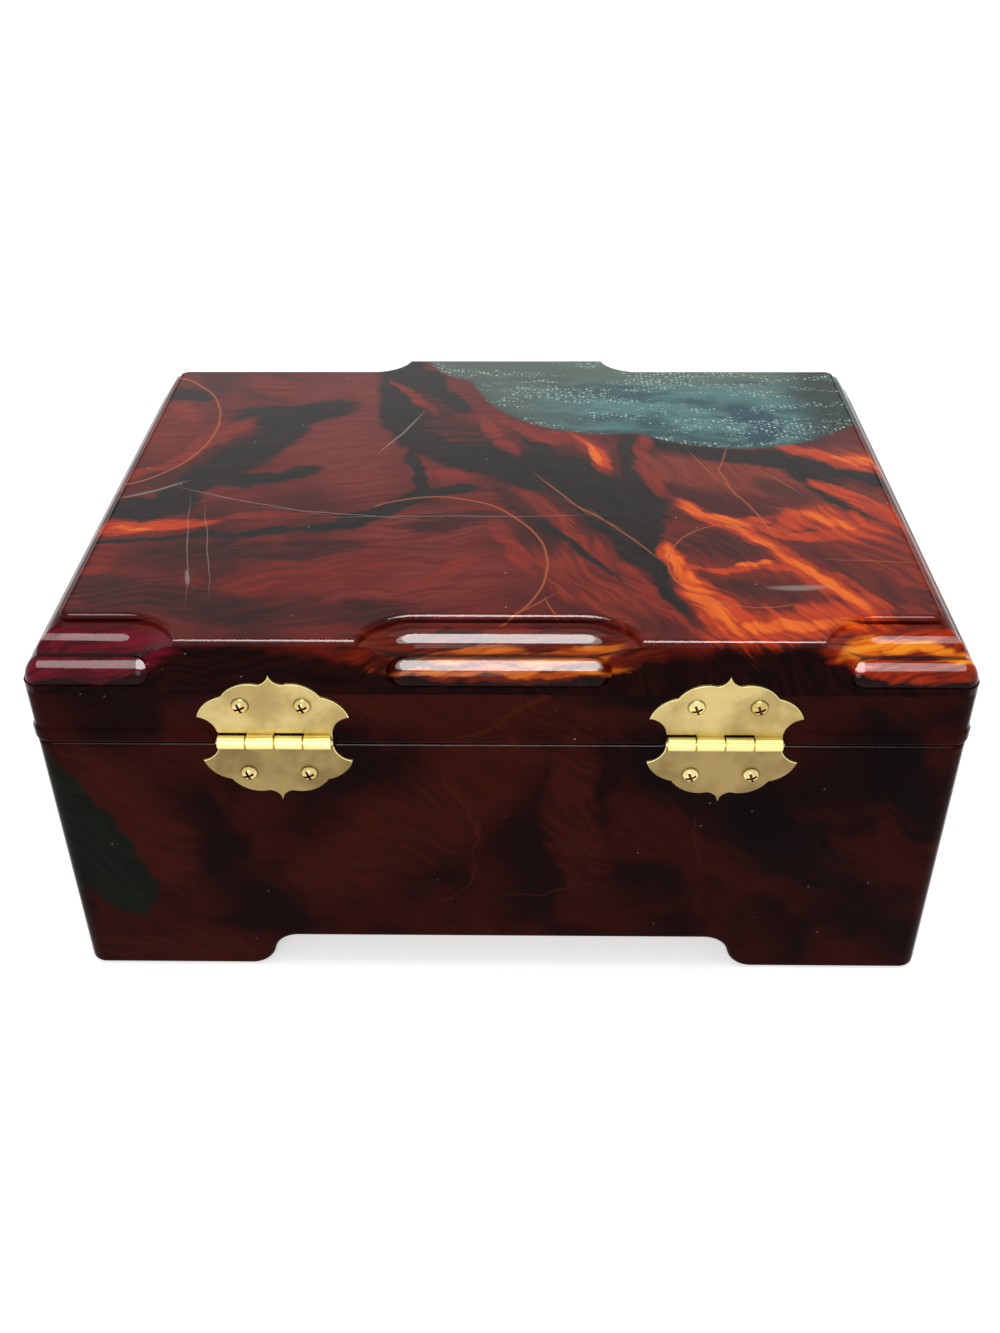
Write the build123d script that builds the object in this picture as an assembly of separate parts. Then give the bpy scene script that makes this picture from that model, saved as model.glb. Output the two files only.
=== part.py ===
from build123d import *
import os
from math import hypot, sqrt

# Trinket box in lacquered burl wood: a mitred body on bracket feet, a lid with a carved
# double-bead edge, two scalloped butterfly hinges at the back and velvet linings inside.
# Millimetres. Origin on the floor below the middle of the overall outline, hinge barrels
# included, front towards -Y, +Z up. Left and right are as seen from the front, right is +X.
# The pieces are drawn round the middle of the body and moved to the origin at the end.

# Body
BOX_WIDTH = 250.0
BOX_DEPTH = 180.0
BODY_HEIGHT = 85.6
WALL = 12.0
CORNER_RADIUS = 5.0
RIM_RADIUS = 1.2
BASE_EDGE_RADIUS = 1.8

# Bracket feet
FOOT_LENGTH = 49.6
SIDE_FOOT_LENGTH = 42.0
FOOT_CURVE_LENGTH = 15.0
APRON_HEIGHT = 12.0

# Floor board, held in a groove round the walls
FLOOR_THICKNESS = 6.0
FLOOR_UNDERSIDE = 18.0
GROOVE_DEPTH = 5.0
GROOVE_CLEARANCE = 0.1

# Lid
SEAM_GAP = 0.4
LID_HEIGHT = 33.2
LID_BOARD_THICKNESS = 17.0
LIP_HEIGHT = 5.2
LIP_PROUD = 0.5
LIP_SLOPE = 1.5
LIP_EDGE_RADIUS = 1.1
TOP_EDGE_RADIUS = 1.2

# Carved double-bead edge, as depths in from the face and drops below the top
QUIRK_DEPTH = 9.6
BACK_QUIRK_DEPTH = 11.8
QUIRK_DROP = 2.1
FLAT_CORNER_RADIUS = 3.0
GROOVE_LINE_DEPTH = 4.8
GROOVE_LINE_DROP = 8.2
LEDGE_WIDTH = 0.4
BEAD_DROP = 14.8
UPPER_BEAD_RADIUS = 6.6
LOWER_BEAD_RADIUS = 7.3
RUN_OUT_AXIS = 3.2
LAND_WIDTH = 46.5
FRONT_LAND_WIDTH = 69.0

# Butterfly hinges
HINGE_SPACING = 119.2
HINGE_RISE = 2.0
LEAF_THICKNESS = 0.9
LEAF_BEVEL = 0.3
LEAF_SPAN = 40.2
LEAF_TIP_HEIGHT = 7.3
LEAF_REACH = 20.9
FINIAL_WIDTH = 6.4
FINIAL_DROP = 3.15
FINIAL_SAGITTA = 0.75
SHOULDER_SPAN = 26.2
SHOULDER_HEIGHT = 13.8
SHOULDER_SAGITTA = 1.75
LOBE_SAGITTA = 1.35
HOLLOW_RADIUS = 0.6
NECK_HEIGHT = 1.9
NECK_SAGITTA = 1.25
BARREL_LENGTH = 30.6
BARREL_RADIUS = 1.95
KNUCKLE_COUNT = 4
KNUCKLE_GAP = 0.25
KNUCKLE_EDGE = 0.2
PIN_RADIUS = 1.0
PIN_RUNNING_CLEARANCE = 0.05
PIN_PROUD = 0.3
LEAF_SLOT_CLEARANCE = 0.35
RELIEF_DEPTH = 0.4
RELIEF_CLEARANCE = 0.5
SEAT_CLEARANCE = 1.6

# Hinge screws
SCREW_SPACING = 16.3
SCREW_OFFSET = 11.3
SCREW_HEAD_RADIUS = 2.45
SCREW_HEAD_HEIGHT = 1.8
SCREW_SHANK_RADIUS = 1.2
SCREW_LENGTH = 9.0
SCREW_POINT = 2.2
SCREW_HOLE_CLEARANCE = 0.15
RECESS_WIDTH = 0.7
RECESS_SPAN = 3.0
RECESS_DEPTH = 0.9
RECESS_TURN = 20.0

# Velvet linings
LINING_THICKNESS = 1.6
LINING_RIM_DROP = 3.0
LINING_EDGE_RADIUS = 0.6
LID_LINING_THICKNESS = 1.4
LID_LINING_RIM_DROP = 2.0
PAD_THICKNESS = 5.0
LID_PAD_THICKNESS = 4.0
PAD_CROWN = 1.8
PAD_EDGE_RADIUS = 1.2
PAD_CLEARANCE = 0.3

# Places that follow from the sizes above
LID_BOTTOM = BODY_HEIGHT + SEAM_GAP
LID_TOP = LID_BOTTOM + LID_HEIGHT
LID_BOARD_BOTTOM = LID_TOP - LID_BOARD_THICKNESS
FLOOR_TOP = FLOOR_UNDERSIDE + FLOOR_THICKNESS
CAVITY_WIDTH = BOX_WIDTH - 2 * WALL
CAVITY_DEPTH = BOX_DEPTH - 2 * WALL
HINGE_Z = BODY_HEIGHT + SEAM_GAP / 2 + HINGE_RISE
HINGE_Y = BOX_DEPTH / 2 + BARREL_RADIUS
HINGE_X = HINGE_SPACING / 2
KNUCKLE_PITCH = BARREL_LENGTH / KNUCKLE_COUNT
ORIGIN_Y = BARREL_RADIUS - LIP_PROUD / 2

# How far a cutter runs past what it cuts, and how near counts as touching
PAST = 20.0
TOUCH = 0.01


def rounded_block(width, depth, radius, bottom, top):
    """A prism on a rounded rectangle between two heights."""
    return extrude(Plane.XY.offset(bottom) * RectangleRounded(width, depth, radius), top - bottom)


def block(width, depth, bottom, top):
    """A plain prism between two heights, centred on the origin."""
    return extrude(Plane.XY.offset(bottom) * Rectangle(width, depth), top - bottom)


def mitre_wedges(overhang):
    """Four prisms that part a rectangular frame along its 45 degree corner mitres."""
    x = BOX_WIDTH / 2 + overhang
    y = BOX_DEPTH / 2 + overhang
    reach = 2 * WALL
    corners = {
        "front": [(-x, -y), (x, -y), (x - reach, -y + reach), (-x + reach, -y + reach)],
        "back": [(-x, y), (x, y), (x - reach, y - reach), (-x + reach, y - reach)],
        "left": [(-x, -y), (-x, y), (-x + reach, y - reach), (-x + reach, -y + reach)],
        "right": [(x, -y), (x, y), (x - reach, y - reach), (x - reach, -y + reach)],
    }
    height = LID_TOP + 2 * PAST
    return {
        side: extrude(Plane.XY.offset(-PAST) * make_face(Polyline(*points, close=True)), height)
        for side, points in corners.items()
    }


def foot_cutter(wall_length, foot_length, depth):
    """The opening between two bracket feet, run through the box along Y."""
    foot = wall_length / 2 - foot_length
    apron = foot - FOOT_CURVE_LENGTH
    middle = ((foot + apron) / 2, APRON_HEIGHT / 2)
    cove = TangentArc((apron, APRON_HEIGHT), middle, tangent=(1, 0))
    toe = TangentArc(middle, (foot, 0), tangent=cove % 1)
    rest = Polyline((foot, 0), (foot, -PAST), (0, -PAST), (0, APRON_HEIGHT), (apron, APRON_HEIGHT))
    half = make_face([cove, toe, rest])
    return extrude(Plane.XZ * (half + mirror(half, Plane.YZ)), depth, both=True)


def on_outline(point):
    """Whether a point lies on the body's outer face, round the corners too."""
    across = max(abs(point.X) - BOX_WIDTH / 2 + CORNER_RADIUS, 0)
    along = max(abs(point.Y) - BOX_DEPTH / 2 + CORNER_RADIUS, 0)
    return abs(hypot(across, along) - CORNER_RADIUS) < TOUCH


def on_base(edge):
    """Whether an edge is an arris of the feet or of the aprons between them."""
    low = edge.bounding_box().max.Z < APRON_HEIGHT + TOUCH
    return low and all(on_outline(edge @ share) for share in (0, 0.5, 1))


def body_walls():
    """The four mitred walls with their feet, floor groove and hinge screw holes."""
    shell = rounded_block(BOX_WIDTH, BOX_DEPTH, CORNER_RADIUS, 0, BODY_HEIGHT)
    shell = fillet(shell.faces().sort_by(Axis.Z)[-1].edges(), RIM_RADIUS)
    shell -= foot_cutter(BOX_WIDTH, FOOT_LENGTH, BOX_DEPTH)
    shell -= Rot(0, 0, 90) * foot_cutter(BOX_DEPTH, SIDE_FOOT_LENGTH, BOX_WIDTH)
    shell = fillet(shell.edges().filter_by(on_base), BASE_EDGE_RADIUS)
    shell -= block(CAVITY_WIDTH, CAVITY_DEPTH, -PAST, BODY_HEIGHT + PAST)
    shell -= block(
        CAVITY_WIDTH + 2 * GROOVE_DEPTH,
        CAVITY_DEPTH + 2 * GROOVE_DEPTH,
        FLOOR_UNDERSIDE,
        FLOOR_TOP + GROOVE_CLEARANCE,
    )
    for hinge_x in (-HINGE_X, HINGE_X):
        shell -= pilot_holes(hinge_x, -1)
    return {f"{side}_wall": shell & wedge for side, wedge in mitre_wedges(0).items()}


def floor_board():
    """The floor board, which drops into the groove with a little play at its edges."""
    play = 2 * (GROOVE_DEPTH - GROOVE_CLEARANCE)
    return block(CAVITY_WIDTH + play, CAVITY_DEPTH + play, FLOOR_UNDERSIDE, FLOOR_TOP)


def run_out(depth):
    """How far beyond a run of carving its rounded end carries a cut of this depth."""
    return sqrt((depth + RUN_OUT_AXIS) ** 2 - RUN_OUT_AXIS**2)


def upper_bead_section(quirk_depth):
    """What is cut away over the upper bead, as (depth in from the face, height)."""
    above = (quirk_depth, PAST)
    quirk = (quirk_depth, -QUIRK_DROP)
    groove_line = (GROOVE_LINE_DEPTH, -GROOVE_LINE_DROP)
    outside = (-RUN_OUT_AXIS, -GROOVE_LINE_DROP)
    return make_face(
        [
            Polyline(groove_line, outside, (-RUN_OUT_AXIS, PAST), above, quirk),
            RadiusArc(quirk, groove_line, -UPPER_BEAD_RADIUS),
        ]
    )


def lower_bead_cutter(start, end, round_start, round_end):
    """A slot along X, square to the lower bead's chord, less the bead with its round ends."""
    rise = BEAD_DROP - GROOVE_LINE_DROP
    fall = GROOVE_LINE_DEPTH - LEDGE_WIDTH
    half_chord = hypot(rise, fall) / 2
    middle = (0, -(GROOVE_LINE_DEPTH + LEDGE_WIDTH) / 2, -(GROOVE_LINE_DROP + BEAD_DROP) / 2)
    chord_plane = Plane(origin=middle, x_dir=(1, 0, 0), z_dir=(0, rise, fall))
    overrun = run_out(GROOVE_LINE_DEPTH) - half_chord
    low = start - overrun
    high = end + overrun
    slot = Pos((low + high) / 2, 0) * Rectangle(high - low, 2 * half_chord)
    bead = Pos((low + high) / 2, 0, 0) * Rot(0, 90, 0) * Cylinder(LOWER_BEAD_RADIUS, high - low)
    for x, rounded in ((low, round_start), (high, round_end)):
        if rounded:
            slot += Pos(x, 0) * Circle(half_chord)
            bead += Pos(x, 0, 0) * Rot(0, 90, 0) * Sphere(LOWER_BEAD_RADIUS)
    sunk = sqrt(LOWER_BEAD_RADIUS**2 - half_chord**2)
    return extrude(chord_plane * slot, PAST) - chord_plane * Pos(0, 0, -sunk) * bead


def bead_cutter(start, end, quirk_depth, round_start=True, round_end=True):
    """A length of the carving along X on a face at Y = 0, with run-out ends where wanted."""

    def section(x):
        plane = Plane(origin=(x, 0, 0), x_dir=(0, -1, 0), z_dir=(-1, 0, 0))
        return plane * upper_bead_section(quirk_depth)

    cutter = extrude(section(end), end - start)
    if round_end:
        cutter += revolve(section(end), Axis((end, RUN_OUT_AXIS, 0), (0, 0, 1)), 180)
    if round_start:
        cutter += revolve(section(start), Axis((start, RUN_OUT_AXIS, 0), (0, 0, -1)), 180)
    return cutter + lower_bead_cutter(start, end, round_start, round_end)


def bead_corner_cutter():
    """What rounds the lower bead at the corner between +X and +Y, round the corner's axis."""
    groove_line = (CORNER_RADIUS - GROOVE_LINE_DEPTH, -GROOVE_LINE_DROP)
    ledge = (CORNER_RADIUS - LEDGE_WIDTH, -BEAD_DROP)
    outside = 2 * CORNER_RADIUS
    section = make_face(
        [
            Polyline(groove_line, (outside, -GROOVE_LINE_DROP), (outside, -BEAD_DROP), ledge),
            RadiusArc(ledge, groove_line, -LOWER_BEAD_RADIUS),
        ]
    )
    return revolve(Plane.XZ * section, Axis.Z, 90)


def flat_corner_cutter():
    """What rounds the flat top at its corner between +X and +Y."""
    radius = FLAT_CORNER_RADIUS
    spandrel = Pos(-radius / 2, -radius / 2) * Rectangle(radius, radius)
    spandrel -= Pos(-radius, -radius) * Circle(radius)
    return extrude(Plane.XY.offset(-QUIRK_DROP) * spandrel, QUIRK_DROP + PAST)


def lid_board():
    """The lid's top board with its carved edge: lands over the hinges and at the front."""
    board = rounded_block(BOX_WIDTH, BOX_DEPTH, CORNER_RADIUS, LID_BOARD_BOTTOM, LID_TOP)
    back = Pos(0, BOX_DEPTH / 2, LID_TOP)
    front = Pos(0, -BOX_DEPTH / 2, LID_TOP) * Rot(0, 0, 180)
    back_run_out = run_out(BACK_QUIRK_DEPTH)
    inner = HINGE_X - LAND_WIDTH / 2 - back_run_out
    outer = HINGE_X + LAND_WIDTH / 2 + back_run_out
    front_end = FRONT_LAND_WIDTH / 2 + run_out(QUIRK_DEPTH)
    corner = BOX_WIDTH / 2 + PAST
    side = BOX_DEPTH / 2 + PAST
    board -= back * bead_cutter(-inner, inner, BACK_QUIRK_DEPTH)
    for place, run, depth in (
        (back, outer, BACK_QUIRK_DEPTH),
        (front, front_end, QUIRK_DEPTH),
    ):
        board -= place * bead_cutter(run, corner, depth, round_end=False)
        board -= place * bead_cutter(-corner, -run, depth, round_start=False)
    side_cutter = bead_cutter(-side, side, QUIRK_DEPTH, round_start=False, round_end=False)
    for hand in (-1, 1):
        board -= Pos(hand * BOX_WIDTH / 2, 0, LID_TOP) * Rot(0, 0, -90 * hand) * side_cutter
    corner_x = BOX_WIDTH / 2 - CORNER_RADIUS
    corner_y = BOX_DEPTH / 2 - CORNER_RADIUS
    flat_x = BOX_WIDTH / 2 - QUIRK_DEPTH
    back_y = BOX_DEPTH / 2 - BACK_QUIRK_DEPTH
    front_y = BOX_DEPTH / 2 - QUIRK_DEPTH
    for x_sign, y_sign, turn, flat_y in (
        (1, 1, 0, back_y),
        (-1, 1, 90, back_y),
        (-1, -1, 180, front_y),
        (1, -1, 270, front_y),
    ):
        round_bead = Pos(x_sign * corner_x, y_sign * corner_y, LID_TOP) * Rot(0, 0, turn)
        round_flat = Pos(x_sign * flat_x, y_sign * flat_y, LID_TOP) * Rot(0, 0, turn)
        board -= round_bead * bead_corner_cutter()
        board -= round_flat * flat_corner_cutter()
    return fillet(board.faces().sort_by(Axis.Z)[-1].outer_wire().edges(), TOP_EDGE_RADIUS)


def lid_rails():
    """The four mitred rails under the lid board, with the lip and the hinge seats."""
    frame = rounded_block(BOX_WIDTH, BOX_DEPTH, CORNER_RADIUS, LID_BOTTOM, LID_BOARD_BOTTOM)
    lip = rounded_block(
        BOX_WIDTH + 2 * LIP_PROUD,
        BOX_DEPTH + 2 * LIP_PROUD,
        CORNER_RADIUS + LIP_PROUD,
        LID_BOTTOM,
        LID_BOTTOM + LIP_HEIGHT,
    )
    lip = chamfer(lip.faces().sort_by(Axis.Z)[-1].edges(), LIP_SLOPE, LIP_PROUD)
    lip = fillet(lip.faces().sort_by(Axis.Z)[0].edges(), LIP_EDGE_RADIUS)
    frame = fillet(frame.faces().sort_by(Axis.Z)[0].edges(), LIP_EDGE_RADIUS)
    seat = block(BARREL_LENGTH + 2 * SEAT_CLEARANCE, PAST, LID_BOTTOM - PAST, LID_TOP)
    for hinge_x in (-HINGE_X, HINGE_X):
        lip -= Pos(hinge_x, BOX_DEPTH / 2 + PAST / 2, 0) * seat
    frame += lip
    frame -= block(CAVITY_WIDTH, CAVITY_DEPTH, LID_BOTTOM - PAST, LID_TOP)
    relief_width = BARREL_LENGTH + 2 * RELIEF_CLEARANCE
    relief_top = HINGE_Z + BARREL_RADIUS + LEAF_SLOT_CLEARANCE
    relief = block(relief_width, 2 * RELIEF_DEPTH, LID_BOTTOM - PAST, relief_top)
    for hinge_x in (-HINGE_X, HINGE_X):
        frame -= Pos(hinge_x, BOX_DEPTH / 2, 0) * relief
        frame -= pilot_holes(hinge_x, 1)
    return {f"lid_{side}_rail": frame & wedge for side, wedge in mitre_wedges(LIP_PROUD).items()}


def leaf_outline():
    """One scalloped leaf, upright, as (across, height above the barrel's axis)."""
    finial = (0, LEAF_REACH)
    dip = (FINIAL_WIDTH / 2, LEAF_REACH - FINIAL_DROP)
    cusp = (SHOULDER_SPAN / 2, SHOULDER_HEIGHT)
    tip = (LEAF_SPAN / 2, LEAF_TIP_HEIGHT)
    neck = (BARREL_LENGTH / 2, NECK_HEIGHT)
    half = [
        SagittaArc(finial, dip, -FINIAL_SAGITTA),
        SagittaArc(dip, cusp, SHOULDER_SAGITTA),
        SagittaArc(cusp, tip, LOBE_SAGITTA),
        SagittaArc(tip, neck, -NECK_SAGITTA),
        Polyline(neck, (neck[0], 0), (0, 0)),
    ]
    face = make_face(half + [Line((0, 0), finial)])
    face += mirror(face, Plane.YZ)
    hollows = [
        vertex
        for vertex in face.vertices()
        for corner in (dip, cusp)
        if hypot(abs(vertex.X) - corner[0], vertex.Y - corner[1]) < TOUCH
    ]
    return fillet(hollows, HOLLOW_RADIUS)


def knuckle_centre(index):
    """Place of a knuckle along the barrel, counted from the -X end."""
    return (index + 0.5 - KNUCKLE_COUNT / 2) * KNUCKLE_PITCH


def hinge_leaf(hinge_x, direction):
    """One leaf with its rolled knuckles: direction is 1 for the lid's leaf, -1 for the body's."""
    plate = extrude(Plane.XZ * leaf_outline(), -LEAF_THICKNESS)
    arrises = plate.faces().sort_by(Axis.Y)[-1].edges()
    scalloped = [edge for edge in arrises if edge.bounding_box().max.Z > NECK_HEIGHT + TOUCH]
    plate = chamfer(scalloped, LEAF_BEVEL)
    barrel_plane = Plane(origin=(0, BARREL_RADIUS, 0), x_dir=(0, 1, 0), z_dir=(1, 0, 0))
    roll_length = KNUCKLE_PITCH - KNUCKLE_GAP
    roll = extrude(barrel_plane * Circle(BARREL_RADIUS), roll_length / 2, both=True)
    roll = chamfer(roll.edges(), KNUCKLE_EDGE)
    slot = Box(KNUCKLE_PITCH + KNUCKLE_GAP, PAST, 2 * (BARREL_RADIUS + LEAF_SLOT_CLEARANCE))
    first_own = 0 if direction == 1 else 1
    for index in range(KNUCKLE_COUNT):
        place = Pos(knuckle_centre(index), 0, 0)
        if index % 2 == first_own:
            plate += place * roll
        else:
            plate -= place * slot
    bore = PIN_RADIUS + (PIN_RUNNING_CLEARANCE if direction == 1 else 0)
    plate -= extrude(barrel_plane * Circle(bore), BARREL_LENGTH, both=True)
    screw_hole = Rot(90, 0, 0) * Cylinder(SCREW_SHANK_RADIUS + SCREW_HOLE_CLEARANCE, PAST)
    for hand in (-1, 1):
        plate -= Pos(hand * SCREW_SPACING / 2, 0, SCREW_OFFSET) * screw_hole
    if direction == -1:
        plate = mirror(plate, Plane.XY)
    return Pos(hinge_x, BOX_DEPTH / 2, HINGE_Z) * plate


def hinge_pin(hinge_x):
    """The pin, driven tight in the body leaf's knuckles and running free in the lid's."""
    length = BARREL_LENGTH + 2 * PIN_PROUD
    pin = Rot(0, 90, 0) * Cylinder(PIN_RADIUS, length)
    pin = chamfer(pin.edges(), PIN_PROUD)
    return Pos(hinge_x, HINGE_Y, HINGE_Z) * pin


def screw_places(hinge_x, direction):
    """Where a leaf's two screws meet the wood."""
    z = HINGE_Z + direction * SCREW_OFFSET
    return [Pos(hinge_x + side * SCREW_SPACING / 2, BOX_DEPTH / 2, z) for side in (-1, 1)]


def pilot_holes(hinge_x, direction):
    """The two straight holes that a leaf's screws fill."""
    hole = Pos(0, -SCREW_LENGTH / 2, 0) * Rot(90, 0, 0) * Cylinder(SCREW_SHANK_RADIUS, SCREW_LENGTH)
    holes = [place * hole for place in screw_places(hinge_x, direction)]
    return holes[0] + holes[1]


def round_head_screw():
    """A screw pointing into the wood along -Y, its domed head cut with a cross recess."""
    top = LEAF_THICKNESS + SCREW_HEAD_HEIGHT
    rim = (SCREW_HEAD_RADIUS, LEAF_THICKNESS)
    point = (0, -SCREW_LENGTH)
    straight = SCREW_LENGTH - SCREW_POINT
    dome_radius = (SCREW_HEAD_RADIUS**2 + SCREW_HEAD_HEIGHT**2) / (2 * SCREW_HEAD_HEIGHT)
    neck = (SCREW_SHANK_RADIUS, LEAF_THICKNESS)
    outline = [
        RadiusArc((0, top), rim, dome_radius),
        Polyline(rim, neck, (SCREW_SHANK_RADIUS, -straight), point, (0, top)),
    ]
    screw = revolve(make_face(outline), Axis.Y, 360)
    for turn in (RECESS_TURN, RECESS_TURN + 90):
        arm = Box(RECESS_SPAN, 2 * RECESS_DEPTH, RECESS_WIDTH)
        screw -= Pos(0, top, 0) * Rot(0, turn, 0) * arm
    return screw


def hinge_screws(hinge_x, direction):
    """The two round-head screws of a leaf."""
    screw = round_head_screw()
    return Compound([place * screw for place in screw_places(hinge_x, direction)])


def soft_top(panel, axis):
    """Rounds the long edges where the velvet turns over a panel's free edge."""
    edges = panel.faces().sort_by(axis)[-1].edges().sort_by(SortBy.LENGTH)[-2:]
    return fillet(edges, LINING_EDGE_RADIUS)


def wall_linings():
    """Velvet-covered panels against the four walls, standing on the floor board."""
    top = BODY_HEIGHT - LINING_RIM_DROP
    long_panel = block(CAVITY_WIDTH, LINING_THICKNESS, FLOOR_TOP, top)
    short_panel = block(LINING_THICKNESS, CAVITY_DEPTH - 2 * LINING_THICKNESS, FLOOR_TOP, top)
    y = CAVITY_DEPTH / 2 - LINING_THICKNESS / 2
    x = CAVITY_WIDTH / 2 - LINING_THICKNESS / 2
    return {
        "front_lining": Pos(0, -y, 0) * soft_top(long_panel, Axis.Z),
        "back_lining": Pos(0, y, 0) * soft_top(long_panel, Axis.Z),
        "left_lining": Pos(-x, 0, 0) * soft_top(short_panel, Axis.Z),
        "right_lining": Pos(x, 0, 0) * soft_top(short_panel, Axis.Z),
    }


def lid_linings():
    """Velvet-covered strips against the lid's four rails."""
    bottom = LID_BOTTOM + LID_LINING_RIM_DROP
    length = CAVITY_DEPTH - 2 * LID_LINING_THICKNESS
    long_panel = block(CAVITY_WIDTH, LID_LINING_THICKNESS, bottom, LID_BOARD_BOTTOM)
    short_panel = block(LID_LINING_THICKNESS, length, bottom, LID_BOARD_BOTTOM)
    y = CAVITY_DEPTH / 2 - LID_LINING_THICKNESS / 2
    x = CAVITY_WIDTH / 2 - LID_LINING_THICKNESS / 2
    down = -Axis.Z
    return {
        "lid_front_lining": Pos(0, -y, 0) * soft_top(long_panel, down),
        "lid_back_lining": Pos(0, y, 0) * soft_top(long_panel, down),
        "lid_left_lining": Pos(-x, 0, 0) * soft_top(short_panel, down),
        "lid_right_lining": Pos(x, 0, 0) * soft_top(short_panel, down),
    }


def crown_section(width, thickness):
    """A pad's outline across its width: crowned on top, with soft upper corners."""
    rim = thickness - PAD_CROWN
    sides = Polyline((width / 2, rim), (width / 2, 0), (-width / 2, 0), (-width / 2, rim))
    crown = ThreePointArc((-width / 2, rim), (0, thickness), (width / 2, rim))
    outline = make_face([sides, crown])
    return fillet(outline.vertices().group_by(Axis.Y)[-1], PAD_EDGE_RADIUS)


def crowned_pad(width, depth, thickness):
    """A padded velvet panel lying on Z = 0: crowned both ways, with soft top edges."""
    across = extrude(Plane.XZ * crown_section(width, thickness), depth / 2, both=True)
    along = extrude(Plane.YZ * crown_section(depth, thickness), width / 2, both=True)
    return across & along


def pads():
    """The floor pad and the lid pad."""
    inset = 2 * (LINING_THICKNESS + PAD_CLEARANCE)
    floor_pad = Pos(0, 0, FLOOR_TOP) * crowned_pad(
        CAVITY_WIDTH - inset, CAVITY_DEPTH - inset, PAD_THICKNESS
    )
    lid_inset = 2 * (LID_LINING_THICKNESS + PAD_CLEARANCE)
    lid_pad = Pos(0, 0, LID_BOARD_BOTTOM) * Rot(180, 0, 0) * crowned_pad(
        CAVITY_WIDTH - lid_inset, CAVITY_DEPTH - lid_inset, LID_PAD_THICKNESS
    )
    return {"floor_pad": floor_pad, "lid_pad": lid_pad}


def hinges():
    """Both hinges: leaves, pins and screws."""
    nodes = {}
    for side, hinge_x in (("left", -HINGE_X), ("right", HINGE_X)):
        nodes[f"{side}_hinge_lid_leaf"] = hinge_leaf(hinge_x, 1)
        nodes[f"{side}_hinge_body_leaf"] = hinge_leaf(hinge_x, -1)
        nodes[f"{side}_hinge_pin"] = hinge_pin(hinge_x)
        nodes[f"{side}_hinge_lid_screws"] = hinge_screws(hinge_x, 1)
        nodes[f"{side}_hinge_body_screws"] = hinge_screws(hinge_x, -1)
    return nodes


def build():
    """All the pieces of the box, by node name."""
    nodes = body_walls()
    nodes["floor_board"] = floor_board()
    nodes.update(wall_linings())
    nodes["lid_board"] = lid_board()
    nodes.update(lid_rails())
    nodes.update(lid_linings())
    nodes.update(pads())
    nodes.update(hinges())
    return nodes


os.makedirs("parts", exist_ok=True)
for name, piece in build().items():
    piece = Pos(0, -ORIGIN_Y, 0) * piece
    piece.label = name
    export_step(piece, f"parts/{name}.step")
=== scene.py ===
"""Looks of the lacquered trinket box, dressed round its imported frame.

Lengths are in metres, in the frame's own axes, unless a name or docstring says millimetres.
The figure of the lacquer is laid out as seen from behind the box: across runs to the viewer's
right, depth runs in from the back face, and height runs up from the floor.
"""

from __future__ import annotations

import logging
import math
from collections.abc import Callable, Iterable, Iterator, Sequence
from dataclasses import dataclass
from enum import Enum
from functools import reduce

import bmesh
import bpy
import mathutils.noise
from mathutils import Matrix, Vector


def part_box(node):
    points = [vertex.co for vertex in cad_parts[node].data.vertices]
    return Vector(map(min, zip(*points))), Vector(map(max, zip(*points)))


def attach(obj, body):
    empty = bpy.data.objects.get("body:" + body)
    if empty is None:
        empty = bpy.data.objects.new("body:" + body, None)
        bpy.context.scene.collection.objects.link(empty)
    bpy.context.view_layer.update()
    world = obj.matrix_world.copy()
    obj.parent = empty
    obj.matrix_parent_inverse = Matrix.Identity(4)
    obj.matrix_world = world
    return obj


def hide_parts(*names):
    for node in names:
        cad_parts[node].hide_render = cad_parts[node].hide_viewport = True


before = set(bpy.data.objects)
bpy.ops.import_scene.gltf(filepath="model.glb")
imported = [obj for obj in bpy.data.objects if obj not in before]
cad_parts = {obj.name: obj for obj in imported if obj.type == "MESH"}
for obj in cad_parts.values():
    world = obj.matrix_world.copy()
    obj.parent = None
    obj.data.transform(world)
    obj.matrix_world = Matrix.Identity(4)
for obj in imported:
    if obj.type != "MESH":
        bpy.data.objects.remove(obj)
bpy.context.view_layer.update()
LOG = logging.getLogger("trinket_box")
MM = 0.001

LACQUERED = (
    "front_wall", "back_wall", "left_wall", "right_wall",
    "lid_board", "lid_front_rail", "lid_back_rail", "lid_left_rail", "lid_right_rail",
)

Colour = tuple[float, float, float]
Point = tuple[float, float]
Place = tuple[float, float, float]
Face = tuple[int, ...]

WHITE = (1.0, 1.0, 1.0)

# Strokes in the lacquer: where one begins and is full, how much of it takes a stain's second
# colour, and how far strokes eat into a stain's edge.
STROKE_EDGES = (0.36, 0.66)
SECOND_SHARE = 0.85
FRAY_REACH = 5.0


def paint(red: int, green: int, blue: int) -> Colour:
    """Turn a paint-chart colour into the linear colour that shaders use.

    Args:
        red: Red from 0 to 255.
        green: Green from 0 to 255.
        blue: Blue from 0 to 255.

    Returns:
        The linear red, green and blue, each from 0 to 1.
    """

    def linear(level: int) -> float:
        """Turn one level into linear light."""
        share = level / 255
        return share / 12.92 if share <= 0.04045 else ((share + 0.055) / 1.055) ** 2.4

    return linear(red), linear(green), linear(blue)


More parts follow.
